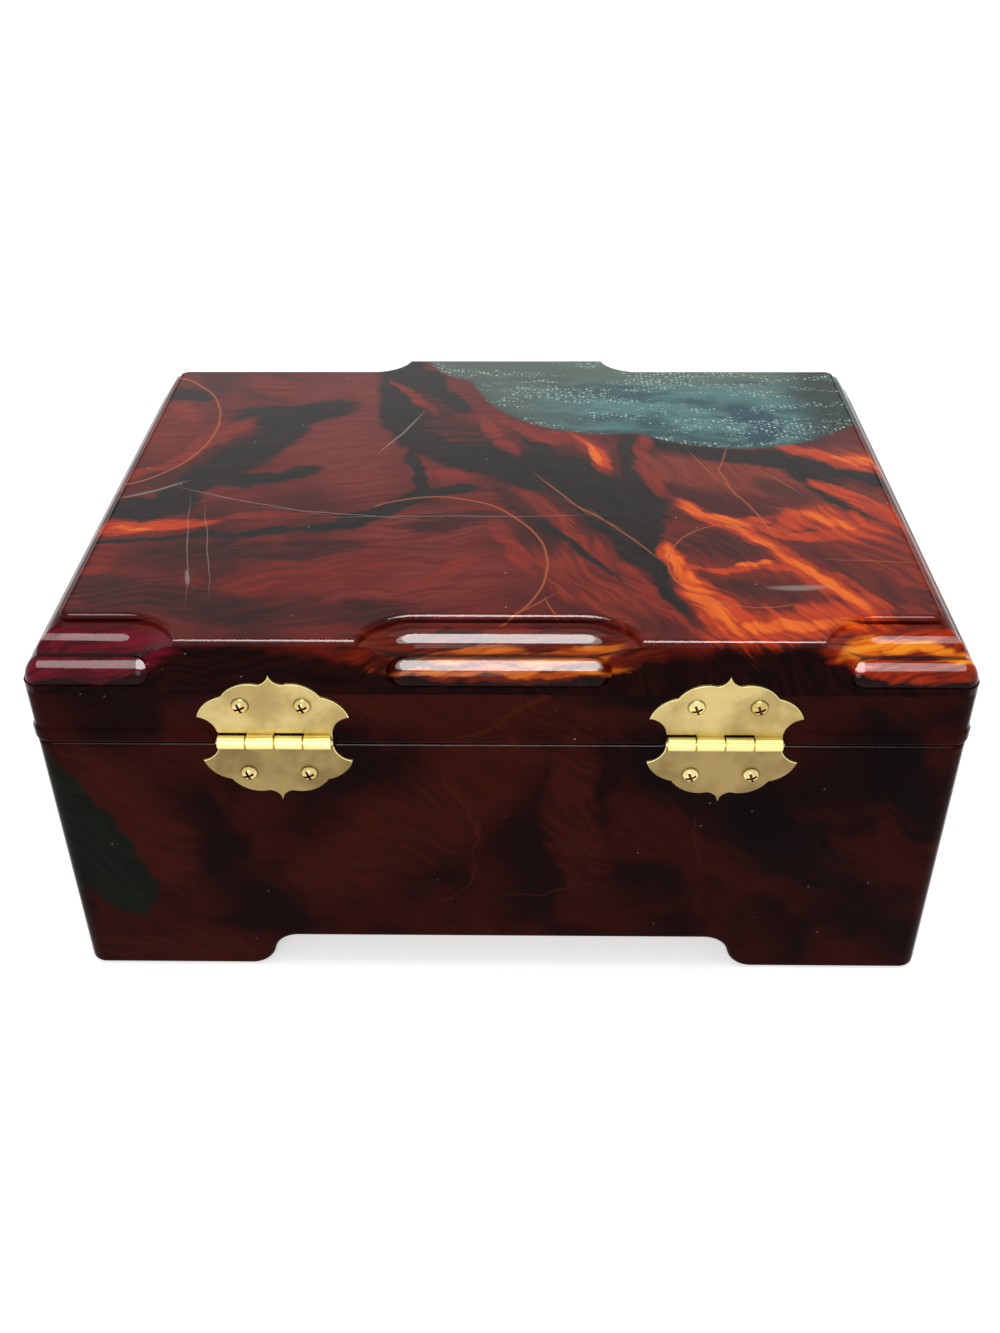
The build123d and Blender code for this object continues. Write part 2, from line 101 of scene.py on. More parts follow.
def mesh_piece(name: str, points: Sequence[Place], faces: Sequence[Face]) -> bpy.types.Object:
    """Make a smooth-shaded piece of points and faces, its faces turned outwards.

    Args:
        name: The piece's name.
        points: Corners in metres, in the frame's axes.
        faces: Corner numbers of each face.

    Returns:
        The new piece, linked to the scene.
    """
    mesh = bpy.data.meshes.new(name)
    mesh.from_pydata(points, [], faces)
    shell = bmesh.new()
    shell.from_mesh(mesh)
    bmesh.ops.remove_doubles(shell, verts=shell.verts, dist=1e-6)
    bmesh.ops.recalc_face_normals(shell, faces=shell.faces)
    for face in shell.faces:
        face.smooth = True
    shell.to_mesh(mesh)
    shell.free()
    piece = bpy.data.objects.new(name, mesh)
    bpy.context.collection.objects.link(piece)
    return piece


def bands(rings: int, count: int) -> list[Face]:
    """Join rings of points into bands of four-cornered faces.

    Args:
        rings: How many rings there are.
        count: How many points each has.

    Returns:
        The faces between each ring and the next.
    """
    faces = []
    for here in range(0, (rings - 1) * count, count):
        for step in range(count):
            after = (step + 1) % count
            faces.append((here + step, here + after, here + count + after, here + count + step))
    return faces


class Wire:
    """A shader socket that takes part in Python arithmetic."""

    def __init__(self, tree: ShaderTree, socket: bpy.types.NodeSocket) -> None:
        """Keep the tree that gets the new nodes and the socket that feeds them."""
        self.tree = tree
        self.socket = socket

    def __add__(self, other: Wire | float) -> Wire:
        """Add a number or a wire."""
        return self.tree.math("ADD", self, other)

    __radd__ = __add__

    def __sub__(self, other: Wire | float) -> Wire:
        """Take a number or a wire away."""
        return self.tree.math("SUBTRACT", self, other)

    def __rsub__(self, other: float) -> Wire:
        """Take this wire away from a number."""
        return self.tree.math("SUBTRACT", other, self)

    def __mul__(self, other: Wire | float) -> Wire:
        """Multiply by a number or a wire."""
        return self.tree.math("MULTIPLY", self, other)

    __rmul__ = __mul__

    def __truediv__(self, other: Wire | float) -> Wire:
        """Divide by a number or a wire."""
        return self.tree.math("DIVIDE", self, other)

    def __pow__(self, other: float) -> Wire:
        """Raise to a power."""
        return self.tree.math("POWER", self, other)

    def __abs__(self) -> Wire:
        """Drop the sign."""
        return self.tree.math("ABSOLUTE", self)


class ShaderTree:
    """A material's node tree, with short ways to add what the finishes need."""

    def __init__(self, name: str, world: bool = False) -> None:
        """Start a material or a world with an empty tree.

        Args:
            name: Its name.
            world: Whether it is a world.
        """
        self.owner = bpy.data.worlds.new(name) if world else bpy.data.materials.new(name)
        self.end = "ShaderNodeOutputWorld" if world else "ShaderNodeOutputMaterial"
        self.owner.use_nodes = True
        self.nodes = self.owner.node_tree.nodes
        self.links = self.owner.node_tree.links
        self.nodes.clear()
        self.dimensions = "3D"

    def node(
        self,
        kind: str,
        settings: dict[str, object] | None = None,
        values: dict[str | int, object] | None = None,
        output: str | int = 0,
    ) -> Wire:
        """Add one node.

        Args:
            kind: The node's type name.
            settings: Properties to set first, such as an operation.
            values: Numbers, tuples or wires, by the name or number of their input.
            output: The name or number of the output to return.

        Returns:
            The wire of that output.
        """
        node = self.nodes.new(kind)
        for key, setting in (settings or {}).items():
            setattr(node, key, setting)
        for key, value in (values or {}).items():
            if isinstance(value, Wire):
                self.links.new(value.socket, node.inputs[key])
            elif isinstance(value, tuple) and node.inputs[key].type == "RGBA":
                node.inputs[key].default_value = (*value, 1.0)
            else:
                node.inputs[key].default_value = value
        return Wire(self, node.outputs[output])

    def math(self, operation: str, *operands: Wire | float) -> Wire:
        """Add a Math node on one to three operands."""
        return self.node("ShaderNodeMath", {"operation": operation}, dict(enumerate(operands)))

    def vector(self, operation: str, *operands: object, output: str = "Vector") -> Wire:
        """Add a Vector Math node.

        Args:
            operation: The node's operation.
            operands: Wires, tuples or numbers, in the order of its inputs.
            output: The name of the output to return.

        Returns:
            The wire of that output.
        """
        values = dict(enumerate(operands))
        if operation == "SCALE":
            values = {0: operands[0], "Scale": operands[1]}
        return self.node("ShaderNodeVectorMath", {"operation": operation}, values, output)

    def place(self) -> Wire:
        """Give the place on the object in millimetres, which stays with a moving piece."""
        spot = self.node("ShaderNodeTexCoord", output="Object")
        return self.vector("SCALE", spot, 1 / MM)

    def split(self, vector: Wire) -> tuple[Wire, Wire, Wire]:
        """Take a vector apart.

        Args:
            vector: The vector.

        Returns:
            Its three parts.
        """
        parts = self.node("ShaderNodeSeparateXYZ", values={0: vector})
        outputs = parts.socket.node.outputs
        return Wire(self, outputs[0]), Wire(self, outputs[1]), Wire(self, outputs[2])

    def join(self, x: Wire | float, y: Wire | float, z: Wire | float) -> Wire:
        """Make a vector of three parts."""
        return self.node("ShaderNodeCombineXYZ", values={0: x, 1: y, 2: z})

    def smooth(self, value: Wire, low: float, high: float) -> Wire:
        """Ease a value from 0 to 1.

        Args:
            value: The value.
            low: Where the share is 0, and stays 0 beyond.
            high: Where the share is 1, and stays 1 beyond; it may be less than low.

        Returns:
            The share.
        """
        settings = {"interpolation_type": "SMOOTHSTEP"}
        if low < high:
            return self.node("ShaderNodeMapRange", settings, {"Value": value, 1: low, 2: high})
        falling = self.node("ShaderNodeMapRange", settings, {"Value": value, 1: high, 2: low})
        return 1 - falling

    def blend(self, share: Wire | float, first: object, second: object) -> Wire:
        """Mix two colours by a share of the second."""
        settings = {"data_type": "RGBA", "clamp_factor": True}
        return self.node("ShaderNodeMix", settings, {0: share, 6: first, 7: second}, output=2)

    def tint(self, first: Wire, second: object) -> Wire:
        """Multiply two colours."""
        settings = {"data_type": "RGBA", "blend_type": "MULTIPLY"}
        return self.node("ShaderNodeMix", settings, {0: 1.0, 6: first, 7: second}, output=2)

    def noise(self, spot: Wire, size: float, detail: float = 2.0, rough: float = 0.5) -> Wire:
        """Give soft noise from 0 to 1 whose patches are about size millimetres across."""
        values = {"Vector": spot, "Scale": 1 / size, "Detail": detail, "Roughness": rough}
        return self.node("ShaderNodeTexNoise", {"noise_dimensions": self.dimensions}, values, "Fac")

    def cells(self, spot: Wire, size: float) -> tuple[Wire, Wire]:
        """Scatter dots, one to a cell.

        Args:
            spot: The place in millimetres.
            size: How large a cell is, in millimetres.

        Returns:
            How far the nearest dot is, in cell sizes, and its chance colour.
        """
        kind = "ShaderNodeTexVoronoi"
        settings = {"feature": "F1", "voronoi_dimensions": self.dimensions}
        values = {"Vector": spot, "Scale": 1 / size, "Randomness": 1.0}
        return self.node(kind, settings, values, "Distance"), self.node(kind, settings, values, "Color")

    def swirl(self, spot: Wire, size: float, reach: float, detail: float = 2.0) -> Wire:
        """Push a place about by soft noise.

        Args:
            spot: The place in millimetres.
            size: How large the swirls are, in millimetres.
            reach: How far they push, in millimetres.
            detail: How many finer layers the noise has.

        Returns:
            The pushed place.
        """
        values = {"Vector": spot, "Scale": 1 / size, "Detail": detail}
        drift = self.node("ShaderNodeTexNoise", {"noise_dimensions": self.dimensions}, values, "Color")
        centred = self.vector("SUBTRACT", drift, (0.5, 0.5, 0.5))
        return self.vector("ADD", spot, self.vector("SCALE", centred, 2 * reach))

    def least(self, shares: Iterable[Wire], merge: float = 0.0) -> Wire:
        """Give the least of several wires.

        Args:
            shares: The wires, each made just before it is compared.
            merge: How softly they run into each other.

        Returns:
            The least.
        """
        if merge:
            return reduce(lambda low, share: self.math("SMOOTH_MIN", low, share, merge), shares)
        return reduce(lambda low, share: self.math("MINIMUM", low, share), shares)

    def bump(self, height: Wire, strength: float, depth: float) -> Wire:
        """Give normals that follow a height of up to depth metres, at a strength from 0 to 1."""
        values = {"Strength": strength, "Distance": depth, "Height": height}
        return self.node("ShaderNodeBump", values=values, output="Normal")

    def close(self, shader: Wire) -> bpy.types.Material | bpy.types.World:
        """Lead a shader to the output.

        Args:
            shader: The shader.

        Returns:
            The finished material or world.
        """
        output = self.nodes.new(self.end)
        self.links.new(shader.socket, output.inputs["Surface"])
        return self.owner

    def surface(self, values: dict[str, object]) -> bpy.types.Material:
        """Finish the tree with a Principled shader that has these values on its inputs."""
        return self.close(self.node("ShaderNodeBsdfPrincipled", values=values))


def finish(node: str, material: bpy.types.Material) -> None:
    """Give every face of a CAD node one material.

    Args:
        node: The node's name.
        material: Its finish.
    """
    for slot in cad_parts[node].material_slots:
        slot.material = material
    LOG.info("%s wears %s", node, material.name)


@dataclass(frozen=True)
class Plane:
    """A place on the figure's plane, ready to be measured against ovals.

    Attributes:
        straight: The place as (first, second, 1), in millimetres.
        squares: The squares of both and their product.
    """

    straight: Wire
    squares: Wire

    @classmethod
    def at(cls, tree: ShaderTree, spot: Wire) -> Plane:
        """Measure a place.

        Args:
            tree: The tree to add to.
            spot: The place in millimetres.

        Returns:
            The place on the figure's plane.
        """
        first, second, _ = tree.split(spot)
        squares = tree.join(first * first, second * second, first * second)
        return cls(tree.join(first, second, 1.0), squares)

    def oval(self, centre: Point, radii: Point, turn: float) -> Wire:
        """Give the square of how far out of an oval the place is.

        Args:
            centre: The oval's middle, in millimetres.
            radii: Its two radii, in millimetres.
            turn: The angle of its first radius, in radians.

        Returns:
            The square of the distance from the middle, where the edge is at 1.
        """
        (x, y), cos, sin = centre, math.cos(turn), math.sin(turn)
        long, short = radii[0] ** -2, radii[1] ** -2
        first, second = cos * cos * long + sin * sin * short, sin * sin * long + cos * cos * short
        both = cos * sin * (long - short)
        run, rise = first * x + both * y, both * x + second * y
        curved = self._dot(self.squares, (first, second, 2 * both))
        return curved + self.line((-2 * run, -2 * rise, run * x + rise * y))

    def line(self, terms: tuple[float, float, float]) -> Wire:
        """Give a sum of the place's two parts and a constant, in those shares."""
        return self._dot(self.straight, terms)

    @staticmethod
    def _dot(wire: Wire, terms: tuple[float, float, float]) -> Wire:
        """Give a dot product."""
        return wire.tree.vector("DOT_PRODUCT", wire, terms, output="Value")


class Figure(Enum):
    """Which part of the lacquer's figure a piece of wood shows."""

    LID_TOP = "lid top"
    BACK = "back"
    FREE = "free"


@dataclass(frozen=True)
class Vein:
    """A stretch of the lacquer's figure, laid as a chain of slim ovals.

    Attributes:
        places: First and second coordinate and half width at places along it, in millimetres; a
            single place makes a round patch.
        stretch: Half an oval's length, as a share of the way between its two places.
        cap: How far an oval passes its places, as a share of the half width.
    """

    places: tuple[Place, ...]
    stretch: float = 0.72
    cap: float = 0.8

    def _ovals(self, plane: Plane) -> Iterator[Wire]:
        """Measure a place against each oval.

        Args:
            plane: The place on the figure's plane.

        Returns:
            The square of how far out of each oval it is, made one by one.
        """
        for (x0, y0, width0), (x1, y1, width1) in zip(self.places, self.places[1:] or self.places):
            length, width = math.hypot(x1 - x0, y1 - y0), (width0 + width1) / 2
            half = max(self.stretch * length, length / 2 + self.cap * width, width)
            turn = math.atan2(y1 - y0, x1 - x0)
            yield plane.oval(((x0 + x1) / 2, (y0 + y1) / 2), (half, width), turn)

    def reach(self, plane: Plane) -> Wire:
        """Give the square of how far out a place is, as a share of the half width."""
        return plane.straight.tree.least(self._ovals(plane))


@dataclass(frozen=True)
class Ring:
    """A thin line along a part of an oval.

    Attributes:
        centre: The oval's middle, in millimetres.
        radii: Its half width and half height, in millimetres.
        width: Half the line's width, in millimetres.
        facing: The middle of the part that shows, in degrees from the first axis.
        limit: The cosine of how far the part reaches either way.
        fade: How soon the line ends there, in that cosine.
        far_out: What reach adds past the ends, which hides the line there.
    """

    centre: Point
    radii: Point
    width: float
    facing: float = 0.0
    limit: float = -0.2
    fade: float = 0.2
    far_out: float = 9.0

    def reach(self, plane: Plane) -> Wire:
        """Measure a place against the line.

        Args:
            plane: The place on the figure's plane.

        Returns:
            The square of how far from the line it is, as a share of the line's half width.
        """
        (x, y), (across, up), side = self.centre, self.radii, math.radians(self.facing)
        out = plane.oval(self.centre, self.radii, 0.0) ** 0.5
        gap = (out - 1) * (min(self.radii) / self.width)
        run, rise = math.cos(side) / across, math.sin(side) / up
        towards = plane.line((run, rise, -x * run - y * rise))
        past_end = towards.tree.smooth(towards, self.limit, self.limit - self.fade)
        return gap * gap + past_end * self.far_out


@dataclass(frozen=True)
class Stain:
    """Veins and thin lines of one colour, laid into the ground together.

    Attributes:
        colour: Their colour.
        soft: How soft their edges are, as a share of the half width.
        strength: How much of the ground they hide, from 0 to 1.
        chains: The places of each vein.
        rings: The thin lines.
        fray: How far the strokes eat into them, as a share of the half width.
        second: A second colour that strokes inside them take, if they have one.
    """

    colour: Colour
    soft: float
    strength: float
    chains: tuple[tuple[Place, ...], ...]
    rings: tuple[Ring, ...] = ()
    fray: float = 0.0
    second: Colour | None = None

    def lay(self, tree: ShaderTree, plane: Plane, ground: Wire, strokes: Wire) -> Wire:
        """Lay the veins over a ground.

        Args:
            tree: The tree to add to.
            plane: The place on the figure's plane.
            ground: The colour so far.
            strokes: Fine strokes from 0 to 1, which fray the edges.

        Returns:
            The colour with the veins in it.
        """
        marks = [*self.rings, *(Vein(chain) for chain in self.chains)]
        nearest = tree.least(mark.reach(plane) for mark in marks)
        if self.fray:
            nearest = nearest + (strokes - 0.5) * (FRAY_REACH * self.fray)
        cover = tree.smooth(nearest, (1 + self.soft) ** 2, (1 - self.soft) ** 2) * self.strength
        colour: object = self.colour
        if self.second is not None:
            colour = tree.blend(tree.smooth(strokes, *STROKE_EDGES) * SECOND_SHARE, colour, self.second)
        return tree.blend(cover, ground, colour)

    @staticmethod
    def lay_all(
        stains: Sequence[Stain], tree: ShaderTree, plane: Plane, ground: Wire, strokes: Wire
    ) -> Wire:
        """Lay several stains in order, each over the last."""
        return reduce(lambda colour, stain: stain.lay(tree, plane, colour, strokes), stains, ground)


# The lid top's broad fields of brown and crimson.
BROAD_STAINS = (
    Stain(
        paint(122, 42, 36), second=paint(104, 24, 22), soft=0.6, strength=0.9, fray=0.3,
        chains=(
            ((-62, 150, 6), (-54, 122, 13), (-49, 100, 15), (-42, 84, 8)),
            ((-50, 162, 5), (-42, 128, 7)),
        ),
    ),
    Stain(
        paint(104, 20, 14), second=paint(126, 46, 38), soft=0.5, strength=0.9, fray=0.3,
        chains=(
            ((-34, 30, 13), (-2, 34, 14)), ((-34, 56, 10), (-10, 58, 12)), ((-24, 92, 5), (-13, 90, 5)),
        ),
    ),
    Stain(
        paint(102, 16, 9), second=paint(132, 34, 14), soft=0.6, strength=0.9, fray=0.4,
        chains=(
            ((-116, 142, 10), (-110, 112, 11)), ((-86, 162, 7), (-74, 152, 5)),
            ((-70, 27, 5), (-54, 29, 6), (-34, 38, 5)), ((-112, 46, 4), (-112, 26, 4)),
        ),
    ),
    Stain(
        paint(132, 50, 30), second=paint(112, 30, 16), soft=0.4, strength=0.95, fray=0.25,
        chains=(
            ((50, 95, 7), (68, 92, 11), (84, 86, 12), (93, 68, 11)), ((104, 105, 7), (118, 98, 9)),
            ((100, 80, 6), (116, 64, 8)),
        ),
    ),
    Stain(
        paint(138, 40, 18), second=paint(92, 18, 10), soft=0.4, strength=0.95, fray=0.5,
        chains=(
            ((108, 50, 16), (106, 26, 16)), ((60, 44, 13), (78, 26, 15)), ((16, 40, 8), (30, 18, 10)),
            ((6, 78, 3), (20, 54, 5), (38, 22, 5)),
        ),
    ),
    Stain(
        paint(70, 18, 16), second=paint(112, 30, 16), soft=0.4, strength=0.9, fray=0.5,
        chains=(
            ((54, 49, 8), (68, 47, 9)), ((62, 26, 5), (78, 24, 7)),
            ((76, 47, 3), (92, 41, 5), (104, 24, 5), (116, 20, 3)), ((70, 76, 3), (88, 72, 3)),
        ),
    ),
    Stain(
        paint(36, 7, 5), second=paint(66, 20, 16), soft=0.45, strength=0.8, fray=0.4,
        chains=(
            ((-116, 26, 5), (-98, 24, 8), (-66, 12, 5), (-30, 14, 5)),
            ((-92, 44, 4), (-64, 45, 5), (-44, 47, 4)), ((-24, 60, 5), (-4, 64, 3)),
            ((0, 80, 3), (8, 66, 4), (13, 48, 3)), ((-30, 152, 8), (-22, 130, 7), (-4, 112, 5)),
            ((-122, 168, 4), (-118, 60, 3)),
        ),
    ),
)

# The lid top's dark flows, and painted shade along the lid's back face below its top edge.
DARK_STAINS_AND_SHADE = (
    Stain(
        paint(14, 10, 9), second=paint(32, 25, 22), soft=0.22, strength=0.98, fray=0.22,
        chains=(
            ((-42, 182, 8), (-34, 172, 8), (-38, 150, 8), (-32, 122, 7), (-22, 109, 8), (-10, 102, 8)),
            ((-12, 104, 9), (2, 97, 12), (18, 90, 12), (32, 80, 12), (42, 66, 7)),
            ((22, 78, 7), (36, 56, 7), (43, 36, 6), (48, 18, 2)),
            ((42, 78, 5), (44, 66, 5.5), (41, 53, 5)),
            ((12, 60, 2), (20, 50, 3), (31, 34, 3), (41, 22, 1.5)),
            ((-9, 82, 3), (-23, 80, 3), (-28, 73, 4), (-37, 66, 4.5), (-47, 60, 3.5)),
            ((-47, 60, 3), (-58, 56, 2.2), (-74, 54.5, 1.8), (-90, 52, 1.5), (-118, 49, 1.2)),
            ((-24, 80, 2), (-26, 92, 1.8), (-29, 104, 2)), ((8, 114, 2), (16, 101, 4), (28, 94, 5)),
            ((40, 117, 2.5), (40, 100, 4), (43, 82, 6)),
            (
                (46, 114, 2), (58, 107, 5), (76, 103, 5), (90, 100, 6),
                (97, 87, 6), (99, 76, 4), (106, 66, 2),
            ),
            ((92, 99, 4), (104, 94, 4), (120, 83, 3)), ((-56, 140, 6), (-70, 132, 10), (-84, 134, 6)),
            ((-70, 126, 8), (-77, 110, 8), (-86, 96, 9), (-95, 84, 6), (-100, 74, 5)),
            ((-58, 94, 3), (-68, 89, 5), (-84, 86, 5)), ((-94, 76, 6), (-99, 67, 6), (-114, 70, 7)),
            ((-118, 152, 5), (-103, 148, 4)), ((-30, 170, 5), (-22, 152, 5), (-14, 139, 4)),
        ),
    ),
    # Painted shade: a near-black band along the lid's back face, from just under its top edge.
    Stain(
        paint(15, 5, 5), second=paint(34, 9, 6), soft=0.12, strength=0.97,
        chains=(((-140, -14, 13.2), (-40, -14, 13.2), (40, -14, 13.2), (140, -14, 13.2)),),
    ),
)

# The lid top's red, orange and amber ribbons.
BRIGHT_STAINS = (
    Stain(
        paint(54, 18, 15), second=paint(74, 26, 20), soft=0.5, strength=0.8, fray=0.4,
        chains=(((56, 50, 5), (66, 45, 6)), ((58, 27, 3), (72, 23, 4)), ((80, 84, 4), (89, 78, 5))),
    ),
    Stain(
        paint(142, 38, 18), second=paint(112, 24, 12), soft=0.45, strength=0.9, fray=0.5,
        chains=(
            ((-6, 129, 2), (-2, 117, 3), (3, 107, 1.5)),
            ((2, 128, 2), (13, 117, 4), (24, 117, 5), (29, 107, 3), (32, 94, 1.5)),
            ((45, 115, 2.5), (43, 96, 2), (48, 80, 3)),
            ((-94, 122, 2), (-99, 104, 3), (-108, 94, 3), (-118, 85, 2)),
            ((-85, 127, 3), (-93, 116, 4)), ((-20, 92, 2), (-13, 90, 3)),
            ((-109, 140, 4), (-104, 132, 2)), ((-38, 160, 1), (-31, 149, 2), (-25, 138, 1)),
            ((12, 70, 1), (20, 54, 1.4), (32, 36, 2), (44, 14, 3)), ((-58, 66, 1), (-76, 64, 2)),
            ((-22, 28, 2), (-10, 38, 3)), ((0, 56, 2), (6, 38, 3)),
        ),
    ),
    Stain(
        paint(204, 62, 10), second=paint(168, 48, 12), soft=0.45, strength=0.95, fray=0.5,
        chains=(
            ((22, 119, 1.5), (29, 107, 2), (32, 97, 1)),
            ((88, 110, 2), (97, 105, 3), (106, 101, 4), (115, 98, 6)),
            ((97, 84, 2), (105, 76, 4), (115, 62, 3)),
            ((52.5, 72.5, 2.5), (58, 65.5, 3.2), (66, 61, 3.4), (76, 63, 1.6)),
            ((66, 60, 3), (76, 47, 3), (85, 32, 3.5), (93, 22, 5), (99, 12, 5)),
            ((46.6, 46.5, 2.4), (48.2, 38, 3), (50.4, 29, 3.4), (56, 18, 5), (62, 4, 7)),
            ((50, 36.5, 1), (58.7, 34.5, 1.2), (70.5, 36.8, 1.5), (79, 35.7, 1.7), (86, 30, 1.8)),
            ((60, 6, 7), (76, 8, 7), (93, 12, 7)), ((83, 62, 3), (93, 65, 7), (102, 57, 6)),
            ((74, 59, 1.5), (81, 54, 3), (90, 53, 2), (98, 55, 3)),
            ((-118, 58, 3), (-104, 58, 3.6), (-89, 60, 1.5)),
        ),
    ),
    Stain(
        paint(246, 116, 26), second=paint(222, 84, 14), soft=0.5, strength=0.85, fray=0.6,
        chains=(
            ((53, 72, 1.2), (58.5, 66, 2), (67, 61, 1.8)),
            ((66, 59, 1), (76, 46, 1.2), (86, 30, 1.5), (95, 18, 2)),
            ((47.2, 45, 1.2), (48.8, 36, 1.4), (52, 26, 1.8), (59, 10, 2.6)),
            ((90, 65, 2), (99, 60, 3.4)), ((106, 102, 1.4), (114, 99, 2.4)),
            ((66, 38, 0.8), (73, 38.5, 1.2)), ((27, 109, 0.8), (30, 100, 1.2)),
            ((66, 7, 2), (86, 8, 2.4)), ((-110, 58, 0.9), (-104, 58, 1.1)),
        ),
    ),
)

# The lid top's thin amber lines and pale scratches, and one painted reflection smudge.
LINE_STAINS_AND_REFLECTION = (
    Stain(
        paint(178, 88, 50), soft=0.6, strength=0.75,
        rings=(
            Ring((-122, 124), (28, 41), 0.3),
            Ring((-20, 38), (32.5, 38.5), 0.3, 10.0, -0.35),
            Ring((68, 38), (22, 22), 0.2, 165.0, -0.55),
        ),
        chains=(
            ((13, 86, 0.2), (22, 71, 0.32), (30, 62, 0.3), (41, 45, 0.2)),
            ((70, 106, 0.2), (67, 94, 0.25), (69, 81, 0.25), (74, 68, 0.25), (77, 55, 0.2)),
            ((12.5, 19, 0.2), (14.5, 13, 0.2)), ((12, 20, 0.2), (5, 13, 0.2)),
            ((60, 103, 0.2), (64, 92, 0.2)), ((81, 92, 0.2), (87, 82, 0.2)),
            ((96, 40, 0.15), (114, 39, 0.15)),
        ),
    ),
    Stain(
        paint(180, 164, 152), soft=0.8, strength=0.42,
        chains=(
            ((-30, 128, 0.3), (-36, 113, 0.3)), ((-111, 77, 0.5), (-105, 80, 0.5), (-99, 84, 0.3)),
            ((-93, 80, 0.12), (-80, 74.5, 0.12), (-60, 68, 0.12), (-36, 64, 0.15), (8, 65, 0.1)),
            ((-91, 62, 0.1), (-86, 34, 0.12)), ((-85, 58, 0.1), (-80, 34, 0.1)),
            # The last chain on this line, from 76 to 84 across, is a painted reflection smudge.
            ((-86, 32, 0.5), (-85, 28, 0.4)), ((76, 26, 0.8), (84, 26, 1.2)),
        ),
    ),
)

# Painted shade in the beads' quirk and groove: how deep in, half how wide, and from where to where across.
QUIRKS = (
    (-1.8, 0.7, ((-119, -96), (-22, 22), (96, 119))),
    (10.2, 0.5, ((-111, -94), (-20, 20), (94, 111))),
)

# Painted shade: dark lines laid in the beads' quirk and groove.
QUIRK_SHADE = (
    Stain(
        paint(18, 7, 6), soft=0.5, strength=0.85,
        chains=tuple(
            ((start, depth, width), (end, depth, width))
            for depth, width, spans in QUIRKS
            for start, end in spans
        ),
    ),
)

# The beads' own colours, from the crimson left corner to the amber right one.
BEAD_STAINS = (
    Stain(
        paint(112, 16, 34), second=paint(62, 9, 18), soft=0.1, strength=0.95, fray=0.1,
        chains=(((-134, -1, 9), (-92, -1, 9)),),
    ),
    Stain(
        paint(112, 30, 12), second=paint(42, 13, 9), soft=0.08, strength=0.97, fray=0.05,
        chains=(((-30, -1, 9), (30, -1, 9)),),
    ),
    Stain(
        paint(224, 118, 24), second=paint(176, 58, 16), soft=0.5, strength=0.9, fray=0.45,
        chains=(
            ((-14, -2, 2), (0, -1, 2.4)), ((8, -3, 2), (24, -1, 2.6)), ((-16, -7, 1.2), (18, -7, 1.4)),
        ),
    ),
    Stain(
        paint(168, 46, 12), second=paint(84, 20, 10), soft=0.1, strength=0.97, fray=0.1,
        chains=(((92, -1, 9), (134, -1, 9)),),
    ),
    Stain(
        paint(250, 152, 32), second=paint(226, 92, 16), soft=0.5, strength=0.95, fray=0.4,
        chains=(((90, -2, 3), (97, 3, 2), (108, 2, 2)), ((106, 3, 1.2), (114, -1, 2.2), (124, -1, 2))),
    ),
)

# The back's brown, black and green-black patches, and its thin lines.
BACK_STAINS = (
    Stain(
        paint(62, 19, 11), second=paint(52, 15, 10), soft=0.7, strength=0.9, fray=0.5,
        chains=(
            ((-112, 78, 6), (-102, 62, 9), (-94, 40, 8)),
            ((4, 84, 8), (-14, 66, 12), (-34, 48, 12), (-48, 40, 6)),
            ((20, 84, 4), (18, 60, 7), (24, 40, 5)), ((52, 90, 4), (60, 60, 4)),
            ((-36, 100, 7), (20, 97, 8)), ((-110, 6, 8), (-80, 6, 8)),
        ),
    ),
    Stain(
        paint(13, 7, 8), soft=0.6, strength=0.9, fray=0.4,
        chains=(
            ((42, 84, 6), (62, 64, 10), (86, 46, 11)), ((-90, 110, 7), (-70, 110, 8)),
            ((30, 104, 6), (60, 106, 8)), ((104, 88, 6), (116, 60, 8)),
        ),
    ),
    Stain(
        paint(18, 22, 17), second=paint(23, 29, 22), soft=0.16, strength=0.97, fray=0.12,
        chains=(((-126, 78, 6), (-118, 58, 9), (-112, 42, 11), (-108, 28, 7)), ((-128, 48, 18),)),
    ),
    Stain(
        paint(84, 34, 18), soft=0.6, strength=0.3, fray=0.6,
        rings=(Ring((-26, 50), (20, 26), 0.25, 0.0, 0.5),),
        chains=(
            ((14, 104, 0.8), (4, 95, 0.7), (-8, 89, 0.4)), ((54, 56, 0.2), (56, 44, 0.3)),
            ((2, 30, 0.3), (22, 34, 0.3)),
        ),
    ),
)


